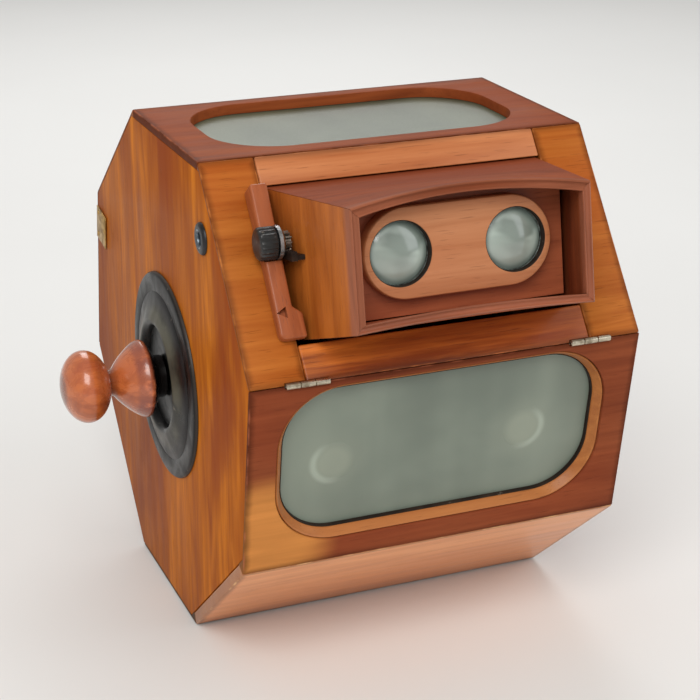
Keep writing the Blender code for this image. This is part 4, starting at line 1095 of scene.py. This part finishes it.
def make_lens(side, word):
    """Lens with its bright ring, and a thin near-black tube lining the hole in front of it as painted shade
    on the hole's wall.
    """
    spot = lens_spot(side, LENS_SEAT - LENS_BOARD)
    steps = 22
    half_edge, front_rise, back_rise = 0.001, 0.004, 0.003
    shares = [i / steps for i in range(steps + 1)]
    lens = [(LENS_RADIUS * t, half_edge + front_rise * (1 - t ** 2)) for t in shares]
    lens += [(LENS_RADIUS * t, -half_edge - back_rise * (1 - t ** 2)) for t in reversed(shares)]
    ring = smooth_profile([(0.0164, 0.0012), (0.0163, 0.0019), (0.0166, 0.0024), (0.017, 0.0022)], 3)
    ring += [(0.0171, 0.0012), (0.01655, 0.0009)]
    # Painted shade: a near-black tube stands for the shadow on the lens hole's wall.
    hole_shade = [(0.0171, -0.0003), (0.0169, -0.0004), (0.0168, -0.001), (0.0168, -0.005), (0.0171, -0.005)]
    add_object(word + "_lens_glass", turned_mesh(word + "_lens", lens), spot, LENS, "eyepiece",
               [word + "_lens"])
    add_object(word + "_lens_ring", turned_mesh("ring", ring, ring=True), spot,
               bare_metal(word + "_ring_metal", (150, 160, 156), (60, 64, 62), "Z"), "eyepiece")
    add_object(word + "_lens_sleeve", turned_mesh("hole_shade", hole_shade, ring=True), lens_spot(side), FILLET,
               "eyepiece")


# ---- Focusing drive ----
def make_focus_block():
    """Bearing block down the left stile: tapering, footed, cut back for the knob and notched."""
    left, right, foot = -0.0925, -0.0828, -0.0779
    top, bottom, corner_cut = 0.02, 0.1035, 0.002
    proud_top, proud_bottom = 0.0125, 0.006
    shape = [(left, top), (right, top), (right, bottom - 0.0169), (foot, bottom - 0.0129), (foot, bottom),
             (left + corner_cut, bottom), (left, bottom - corner_cut)]
    slope = (proud_bottom - proud_top) / (bottom - top)
    bm = bmesh.new()
    front = [bm.verts.new((x, down, -(proud_top + slope * (down - top)))) for x, down in shape]
    join_loops(bm, [front, [bm.verts.new((x, down, -GAP)) for x, down in shape]])
    bmesh.ops.recalc_face_normals(bm, faces=bm.faces)
    round_edges(bm, 0.0016, 4, 25)
    face = face_frame("B", "C")
    block = add_object("focus_block_wood", shade(to_mesh(bm, "focus_block")), face,
                       wood("focus_block_wood", FOCUS_BLOCK_TONE, "Y", 71.0), "case", ["focus_block"])
    notch = face @ Matrix.Translation((-0.0884, 0.0896, 0)) @ Matrix.Rotation(pi / 2, 4, 'Z')
    carve(block, [(tube_mesh(0.0094, -0.097, -0.079, 64), focus_frame()),
                  (tube_mesh(0.0036, -0.012, -0.0035, 3), notch)])


def make_focus_knob():
    """Black knob with rounded flutes along it, which run out at its rounded ends."""
    right, left, radius, bore, flutes, flute_depth = -0.0863, -0.0962, 0.0088, 0.0029, 22, 0.00045
    profile = [(0, left), (radius * 0.55, left), (radius - 0.0014, left + 0.0001),
               (radius - 0.0005, left + 0.0006), (radius, left + 0.0016), (radius, right - 0.0014),
               (radius - 0.0004, right - 0.0005), (radius - 0.0012, right), (bore, right),
               (bore, left + 0.003), (0, left + 0.003)]
    shares = (0, 0, 0, 0.4, 1, 1, 0.5, 0, 0, 0, 0)

    def flute(row, turn):
        return flute_depth * shares[row] * (0.5 - 0.5 * cos(flutes * turn)) ** 0.6

    mesh = turned_mesh("focus_knob", profile, flutes * 8, angle=35, dip=flute)
    add_object("focus_knob_fluted", mesh, focus_frame(),
               black_metal("focus_knob_black", (34, 34, 34), (66, 66, 66)), "focus", ["focus_knob"])


# ---- Carried-over nodes ----
def finish_cad_nodes():
    """Finishes for the model's own nodes that no finer piece replaces."""
    inner = wood("inner_wood", DULL, "X", 81.0, roughness=0.6)
    hood_inner = wood("lens_plate_wood", LENS_PLATE_TONE, "X", 84.0)
    tin = black_metal("tinplate_black", (36, 34, 32), (58, 54, 50), roughness=0.5)
    steel = bare_metal("steel_bright", (176, 174, 166), (112, 108, 100))
    starts = {"lens_plate": hood_inner, "focus_bearing": STEEL_RING, "focus_rack": FILLET,
              "focus_pinion": steel, "card_holder": tin, "axle": steel, "reel_spring_washer": steel,
              "guide_rod": steel, "left_spider": inner, "right_spider": inner, "guide_bracket": inner}
    for name, node in frame["nodes"].items():
        for start, finish in starts.items():
            if name.startswith(start):
                node.data.materials.clear()
                node.data.materials.append(finish)


# ---- Stage, light and camera ----
def make_stage():
    bm = bmesh.new()
    bmesh.ops.create_grid(bm, x_segments=2, y_segments=2, size=6)
    s = Shader("floor_pale")
    pale, paler = (0.72, 0.72, 0.71, 1), (0.76, 0.76, 0.75, 1)
    s.set(Base_Color=s.mix(s.noise(3, 2), pale, paler), Roughness=0.75)
    floor = add_object("floor", to_mesh(bm, "floor"), Matrix.Translation((0, 0, -0.0005)), s.material, None)
    world = bpy.data.worlds.new("studio")
    world.use_nodes = True
    background = world.node_tree.nodes["Background"].inputs
    background["Color"].default_value = (1.0, 0.985, 0.96, 1)
    background["Strength"].default_value = 0.5
    bpy.context.scene.world = world


def add_area(name, location, size, energy, colour=(1, 1, 1)):
    """Square soft light aimed at the middle of the case."""
    light = bpy.data.lights.new(name, 'AREA')
    light.energy = energy
    light.size = size
    light.color = colour
    lamp = link(name, light)
    lamp.location = location
    lamp.rotation_euler = (Vector((0, 0, 0.15)) - Vector(location)).to_track_quat('-Z', 'Y').to_euler()


def make_camera():
    azimuth, elevation, distance = radians(-22.08), radians(21.301), 1.0957
    target = Vector((0.0037, 0.0022, AXLE_HEIGHT - 0.0024))
    back = Vector((sin(azimuth) * cos(elevation), -cos(azimuth) * cos(elevation), sin(elevation)))
    data = bpy.data.cameras.new("camera")
    data.lens = 92.05
    data.sensor_width = 36
    camera = link("camera", data)
    camera.location = target + back * distance
    camera.rotation_euler = (-back).to_track_quat('-Z', 'Y').to_euler()
    bpy.context.scene.camera = camera


NICKEL = bare_metal("nickel_hinge", (206, 196, 176), (140, 128, 108))
BRASS = bare_metal("brass_aged", (196, 158, 88), (138, 104, 52))
STEEL_RING = bare_metal("bearing_steel", (186, 190, 192), (110, 112, 112), "Z")
LENS = lens_glass("lens_crown_glass")
# Near-black finish: black on the focus rack and the door beads' fillets, painted shade in the lens holes.
FILLET = black_metal("black_and_painted_shade", (34, 24, 19), (50, 38, 30), roughness=0.5, specular=0.15)

make_stage()
add_area("key", (-0.9, -1.5, 1.7), 1.3, 34, (1.0, 0.98, 0.95))
add_area("fill", (1.6, -1.1, 1.0), 1.6, 12, (0.95, 0.97, 1.0))
add_area("rim", (0.4, 1.5, 1.5), 1.2, 16)
make_camera()
make_case()
make_door("front", "C", "D", 91.0, ((-0.1, 0.1, 0), 0.042, DOOR_PATCH),
          [(-0.061, 0.0575, 0.012), (0.052, 0.056, 0.012)])
make_door("back", "G", "H", 97.0, None, [])
for side_and_word in SIDES:
    make_side_fittings(*side_and_word)
    make_lens(*side_and_word)
make_eyelet()
make_catch_plate()
make_hood()
make_lens_board()
make_focus_block()
make_focus_knob()
finish_cad_nodes()
bpy.context.scene.view_settings.view_transform = "Standard"
